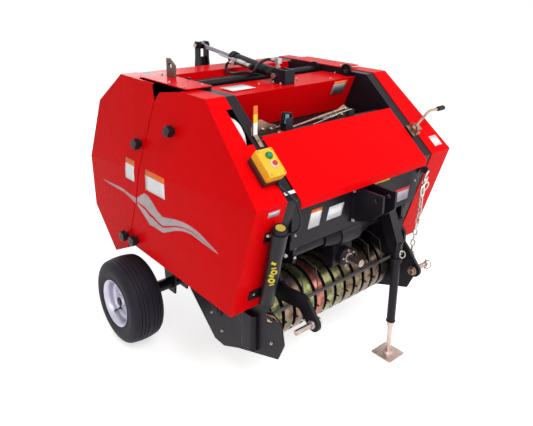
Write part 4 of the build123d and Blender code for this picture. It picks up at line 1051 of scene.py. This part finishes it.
bolts(
    "hitch_bolts", 8, None,
    [(side * 349.2, -560, z) for side in sides for z in (735, 690)]
    + [(side * 349.2, -470, 600) for side in sides],
)
bolts(
    "gearbox_bolts", 6, None,
    [
        (62.6 * side, gearbox_y + 40 * math.cos(a), gearbox_z + 40 * math.sin(a))
        for side in sides
        for a in (0.4, 1.6, 2.8, 4.0, 5.3)
    ],
)
bolts(
    "boss_bolts", 5, ahead,
    [(36 * math.cos(a), -548.4, stub_z + 36 * math.sin(a)) for a in (0.5, 1.7, 3.0, 4.2, 5.4)],
)
bolts(
    "pickup_bolts", 7, None,
    [
        (side * 446.6, y, z)
        for side, own in ((-1, ((-520, 420), (-120, 260))), (1, ((-165, 300),)))
        for y, z in ((-230, 440), (-60, 420), (-200, 200), (-540, 320), *own)
    ],
)
bolts("axle_bolts", 9, (0, 0, -1), [(side * 430, y, 322) for side in sides for y in (255, 345)])

for side, word, mat in ((-1, "right", plated), (1, "left", bronze)):
    bm = bmesh.new()
    for x, outwards, profile, segments in (
        (324, -1, [(-2, 12), (-2, 23), (0.5, 23), (1, 22), (1, 12)], 28),
        (322.8, -1, [(0, 11.2), (0, 18.6), (12, 18.6), (14, 16), (14, 11.2)], 6),
        (349, 1, [(0, 11.2), (0, 19), (4, 19.6), (9, 18.4), (12, 15), (12.4, 11.2)], 32),
    ):
        place = (side * x, hitch_pin_y, hitch_pin_z)
        lathe(bm, place, (side * outwards, 0, 0), profile, segments, closed=True)
    piece(f"pin_nut_{word}", bm, mat, bevel=0.5)
rod("linch_pin_left", [(430, hitch_pin_y, hitch_pin_z + up) for up in (24, 10, -14, -26)], 3.4, bronze)
rod(
    "linch_ring_left", [
        (430, -668, 455), (437, -690, 462), (438, -702, 440), (436, -692, 418), (430, -674, 414),
        (425, -690, 440),
    ], 2.2, bronze, cyclic=True,
)

# -------------------- jack and cylinder

# The jack's spring pin with the ring on it, and the rings on its tube and leg.
rod(
    "jack_spring_ring", [
        (254, -652, 560), (262, -664, 552), (256, -672, 536), (240, -668, 530), (226, -662, 540),
        (232, -656, 556),
    ], 2.4, plated, cyclic=True,
)
bm = bmesh.new()
lathe(bm, (jack_x, -610, 556), ahead, [(-4, 0), (-4, 7), (50, 7), (52, 5), (52, 0)], 20)
lathe(bm, (jack_x, -656, 556), ahead, [(0, 7), (0, 12), (5, 12), (6, 10), (6, 0)], 20)
piece("jack_spring_pin", bm, plated)
bm = bmesh.new()
for z, profile, closed in (
    (519.4, [(0, 20.2), (0, 27.4), (1.5, 28.6), (5, 28.6), (7, 26), (8, 20.2)], True),
    (184.2, [(0, 20.1), (0, 22.4), (5, 22.4), (7, 20.1)], True),
    (597.4, [(0, 20.1), (0, 21.6), (3.8, 21.2), (4.6, 17), (4.6, 0)], False),
):
    lathe(bm, (jack_x, jack_y, z), above, profile, 40, closed=closed)
piece("jack_rings", bm, black)

# The cylinder's gland and bands, the hose's ferrule, and the coupler's collars and nut.
ram_base, ram_eye = (-62, 1319), (560, 1395)  # y and z of the pins at its two ends
tilt = math.atan2(ram_eye[1] - ram_base[1], ram_eye[0] - ram_base[0])
ram = (0, math.cos(tilt), math.sin(tilt))


def on_ram(distance):
    """A place on the cylinder's axis, so far from its base pin."""
    return (0, ram_base[0] + distance * ram[1], ram_base[1] + distance * ram[2])


bm = bmesh.new()
lathe(
    bm, on_ram(343), ram,
    [(0, 31.2), (0, 32.6), (2, 33), (6, 33), (8.4, 30), (8.8, 18), (7.6, 12.5), (7.6, 11.2), (4, 11.2)], 48,
)
lathe(bm, on_ram(46), ram, [(0, 27.2), (0.5, 28.6), (5, 28.6), (6, 27.2)], 48, closed=True)
for k in range(3):
    lathe(bm, on_ram(322 + 6 * k), ram, [(0, 31.1), (0.8, 31.9), (2.6, 31.9), (3.4, 31.1)], 48, closed=True)
piece("gland_ring", bm, dark, body="barrel")
bm = bmesh.new()
lathe(
    bm, (0, -49.8, 1385), (0, 1, 0),
    [(6, 9.6), (6, 11.6), (16, 11.6), (17, 10.6), (30, 10.4), (34, 9.4), (35.6, 7.6)], 6,
)
lathe(bm, (0, -49.8, 1385), (0, 1, 0), [(17, 9.7), (17.5, 10.9), (33, 10.5), (35.6, 7.3)], 32)
piece("hose_ferrule", bm, plated, body="barrel", bevel=0.4)
bm = bmesh.new()
coupler_tilt = 0.122
coupler = Vector((0, math.cos(coupler_tilt), math.sin(coupler_tilt)))
coupler_foot = Vector((-41, 98, 1343))
collar = [(0, 13.1), (1.2, 14.2), (2.8, 14.2), (4, 13.1)]
for k in range(9):
    lathe(bm, coupler_foot + coupler * (42 + 5.6 * k), coupler, collar, 36, closed=True)
lathe(bm, coupler_foot, coupler, [(-0.4, 6), (-0.4, 11.4), (6, 12.2), (12, 12.2), (14, 11.2)], 36)
piece("coupler_collar", bm, plated, body="barrel")
profile = [(0, 7.2), (0, 11.4), (10, 11.4), (13, 9), (17, 7.2)]
turned("coupler_nut", (-56, 214.4, 1346), (0, 1, 0), profile, 6, plated, body="barrel", bevel=0.5)
profile = [(0, 0), (0, 12), (5, 12), (6, 10), (6, 0)]
for side, word, segments in ((-1, "a", 28), (1, "b", 6)):  # the pin's round end, and its nut
    place = (side * 41.2, *ram_eye)
    turned(f"post_pin_{word}", place, (side, 0, 0), profile, segments, plated, body="gate", bevel=0.5)

# -------------------- strap, knobs, gate, pick-up

# Strap round the flange where the cable runs.
bm = bmesh.new()
prism(
    bm, [on_slope(-458, 462, 1), on_slope(-405, 462, 1), on_slope(-405, 476, 1), on_slope(-458, 476, 1)],
    Vector(slope_out) * 1.4,
)
block(bm, on_slope(-444, 470, 4.5), (8, 11, 5), slope_axes)
piece("cable_strap", bm, white_plastic, bevel=0.4)

# Knobs: the washer under each, and the end of its stud.
washer = [(0, 13.1), (0, 18), (1.4, 18), (2, 17), (2, 13.1)]
stud_end = [(0, 0), (0, 8), (1.2, 7.6), (1.8, 6), (1.8, 0)]
for name, body, places in (
    ("front_knob_trim", "frame", ((-49, 1142), (257, 540))),
    ("gate_knob_trim", "gate", ((211, 1029), (352, 531))),
):
    bm = bmesh.new()
    for y, z in places:
        for side in (-1, 1):
            out = Vector((side, 0, cover_lean if z > crease_height(y) else 0)).normalized()
            lathe(bm, on_cover(side, y, z, 0.4), out, washer, 32, closed=True)
            lathe(bm, on_cover(side, y, z, 35.3), out, stud_end, 24)
    piece(name, bm, black_plastic, body=body)

# Gate: stiffening ribs on the rear panel.
bm = bmesh.new()
for x in (-250, 0, 250):
    prism(
        bm, [(x - 14, 470, 1288), (x + 14, 470, 1288), (x + 14, 622, 1171), (x - 14, 622, 1171)],
        (0, 2.2, 3),
    )
piece("panel_ribs", bm, red, body="gate", bevel=1)

# Pick-up: bearing covers; a dark sheet behind the reel and a dark drum in it, both painted shade for the
# shaded inside of the pick-up; and the wind guard's clips.
bm = bmesh.new()
lathe(
    bm, (-446.4, -165, 300), (-1, 0, 0),
    [(0, 0), (0, 38), (3, 38), (6, 35), (7, 22), (10, 20), (13, 20), (14, 17), (14, 0)], 48,
)
for a in around(4, 0.5):
    bolt(bm, (-449, -165 + 30 * math.cos(a), 300 + 30 * math.sin(a)), (-1, 0, 0), 5)
for side, profile in (
    (1, [(0, 0), (0, 44), (3, 44), (6, 40), (7, 26), (12, 24), (13, 0)]),
    (-1, [(0, 0), (0, 30), (4, 30), (6, 20), (6, 0)]),
):
    lathe(bm, (side * 446.4, reel_y, reel_z), (side, 0, 0), profile, 48)
piece("bearing_covers", bm, black)
# A black sheet across the pick-up, as painted shade: the reel's inside reads dark between the bands.
bm = bmesh.new()
panel(bm, -439, 439, -158, 552, 120, (0, 2, 0))
piece("pickup_shade_sheet", bm, black)
# A black drum on the reel, as painted shade inside it.
profile = [(0, 0), (0, 128), (800, 128), (800, 0)]
turned("reel_shade_drum", (-400, reel_y, reel_z), (1, 0, 0), profile, 64, black, body="reel")
rod(
    "guard_clip", [
        (-442, -500, 437), (-452, -508, 446), (-458, -524, 452), (-452, -548, 456), (-448, -566, 450),
        (-452, -580, 446),
    ], 3.2, bronze,
)
rod(
    "guard_pin",
    [(-441, -512, 444), (-470, -530, 450), (-474, -548, 440), (-456, -556, 434), (-444, -540, 436)], 2.6,
    bronze, cyclic=True,
)

# -------------------- the end

bpy.context.view_layer.update()
